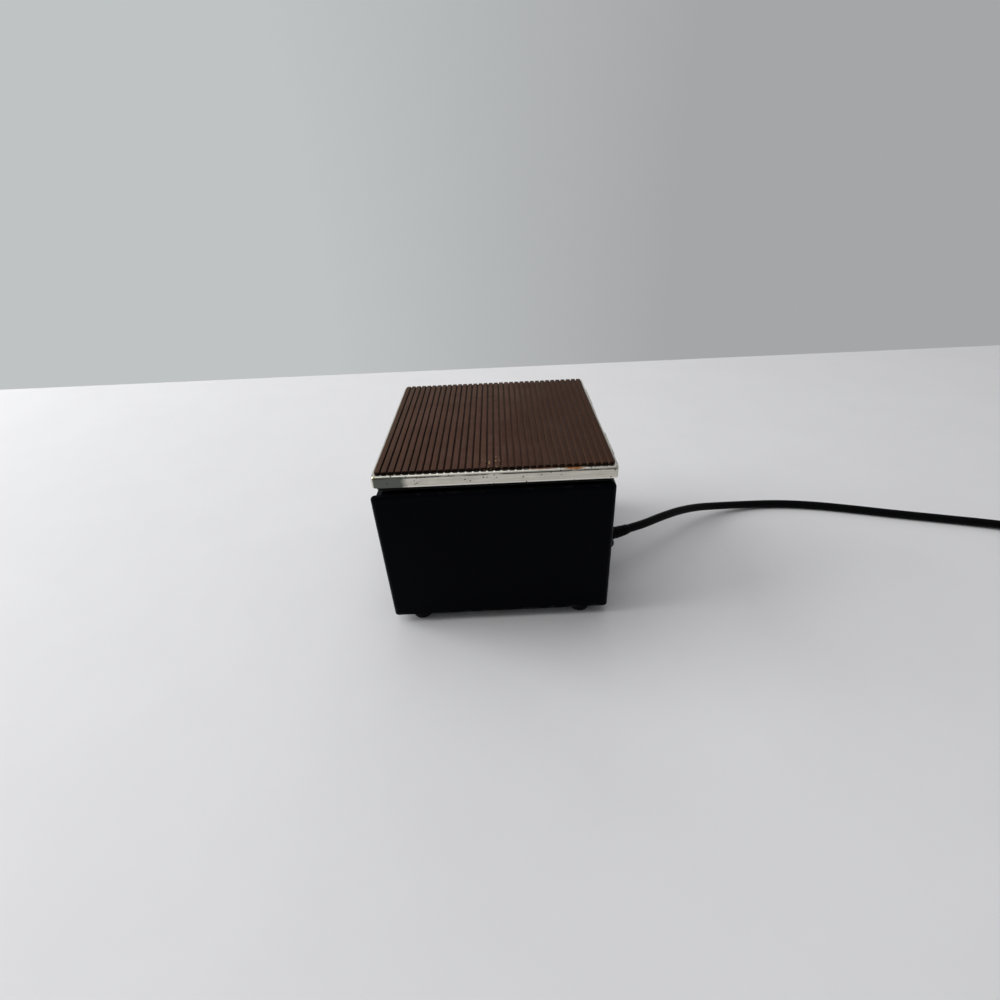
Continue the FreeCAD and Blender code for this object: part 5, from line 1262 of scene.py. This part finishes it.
class HEATER_OT_switch(bpy.types.Operator):
    """The rocker switch with its marks, and the pilot lamp"""

    bl_idname = "heater.switch"
    bl_label = "Switch and lamp"

    def execute(self, context):
        refined("switch_frame", "textured_nylon", 0.5)
        rocker = refined("switch_rocker", "polished_nylon", 0.25)
        self.marks(rocker)
        refined("lamp_body", "textured_nylon", 0.3)
        refined("lamp_nut", "plated_steel", 0.3)
        low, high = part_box("lamp_lens")
        base = Vector((high.x, (low.y + high.y) / 2, (low.z + high.z) / 2))
        profile = [(0, 0), (4.8, 0), (4.8, 1.0), (4.5, 1.2), (4.5, 1.5), (4.75, 1.7), (4.7, 2.3)]
        profile += [(4.55 * math.cos(a), 2.4 + 2.55 * math.sin(a)) for a in (0.1, 0.35, 0.6, 0.85, 1.1, 1.35)]
        profile += [(0, 4.95)]
        facing = Matrix.Translation(base) @ Matrix.Rotation(math.radians(-90), 4, "Y")
        stand_in(lathe("lamp_lens_moulded", profile, 48, facing), "amber_polycarbonate", "lamp_lens")
        return {"FINISHED"}

    def marks(self, rocker):
        """A bar and a ring, printed on the two halves of the rocker's hollow face."""
        shape = bmesh.new()
        surface = BVHTree.FromPolygons(
            [v.co.copy() for v in rocker.data.vertices], [list(p.vertices) for p in rocker.data.polygons]
        )
        start = Vector((-0.2, ROCKER.y, ROCKER.z))

        def printed(across, above):
            spot = start + Vector((0, across, above)) * MM
            hit = surface.ray_cast(spot, OUT)[0]
            if hit is None:
                raise RuntimeError("a mark misses the rocker")
            return shape.verts.new(hit)

        # In millimetres from the rocker's axis.
        half_bar, bar_start, bar_length, bar_steps = 0.5, 5.6, 4.8, 6
        ring_middle, ring_radii, ring_steps = -8.0, (1.55, 2.4), 36
        heights = [bar_start + bar_length * i / bar_steps for i in range(bar_steps + 1)]
        rows = [[printed(across, above) for across in (-half_bar, half_bar)] for above in heights]
        for low, high in zip(rows, rows[1:]):
            shape.faces.new((low[0], high[0], high[1], low[1]))
        turns = [2 * math.pi * i / ring_steps for i in range(ring_steps)]
        inner, outer = (
            [printed(radius * math.sin(t), ring_middle + radius * math.cos(t)) for t in turns] for radius in ring_radii
        )
        bridged(shape, inner, outer)
        piece = meshed("rocker_marks", shape)
        thick = piece.modifiers.new("Ink", "SOLIDIFY")
        thick.thickness = 0.1 * MM
        thick.offset = 0.0
        settle(plain(piece), "dial_paint", "rocker", "rocker_plastic")


STEPS = (
    HEATER_OT_stage,
    HEATER_OT_mains_lead,
    HEATER_OT_mat,
    HEATER_OT_lid,
    HEATER_OT_hinges,
    HEATER_OT_case,
    HEATER_OT_blocks,
    HEATER_OT_thermostat,
    HEATER_OT_switch,
)


class HEATER_PT_panel(bpy.types.Panel):
    """Sidebar panel with the heater's steps, sizes and colours"""

    bl_label = "Dry block heater"
    bl_idname = "HEATER_PT_panel"
    bl_space_type = "VIEW_3D"
    bl_region_type = "UI"
    bl_category = "Heater"

    def draw(self, context):
        for step in STEPS:
            self.layout.operator(step.bl_idname)
        for group in (sizes(), colours()):
            for name in type(group).__annotations__:
                self.layout.prop(group, name)


CLASSES = (HeaterSizes, HeaterColours, *STEPS, HEATER_PT_panel)


def register():
    for kind in CLASSES:
        bpy.utils.register_class(kind)
    bpy.types.Scene.heater_sizes = PointerProperty(type=HeaterSizes)
    bpy.types.Scene.heater_colours = PointerProperty(type=HeaterColours)


def unregister():
    del bpy.types.Scene.heater_colours
    del bpy.types.Scene.heater_sizes
    for kind in reversed(CLASSES):
        bpy.utils.unregister_class(kind)


def main():
    register()
    for step in STEPS:
        getattr(bpy.ops.heater, step.bl_idname.split(".")[1])()


if __name__ == "__main__":
    main()
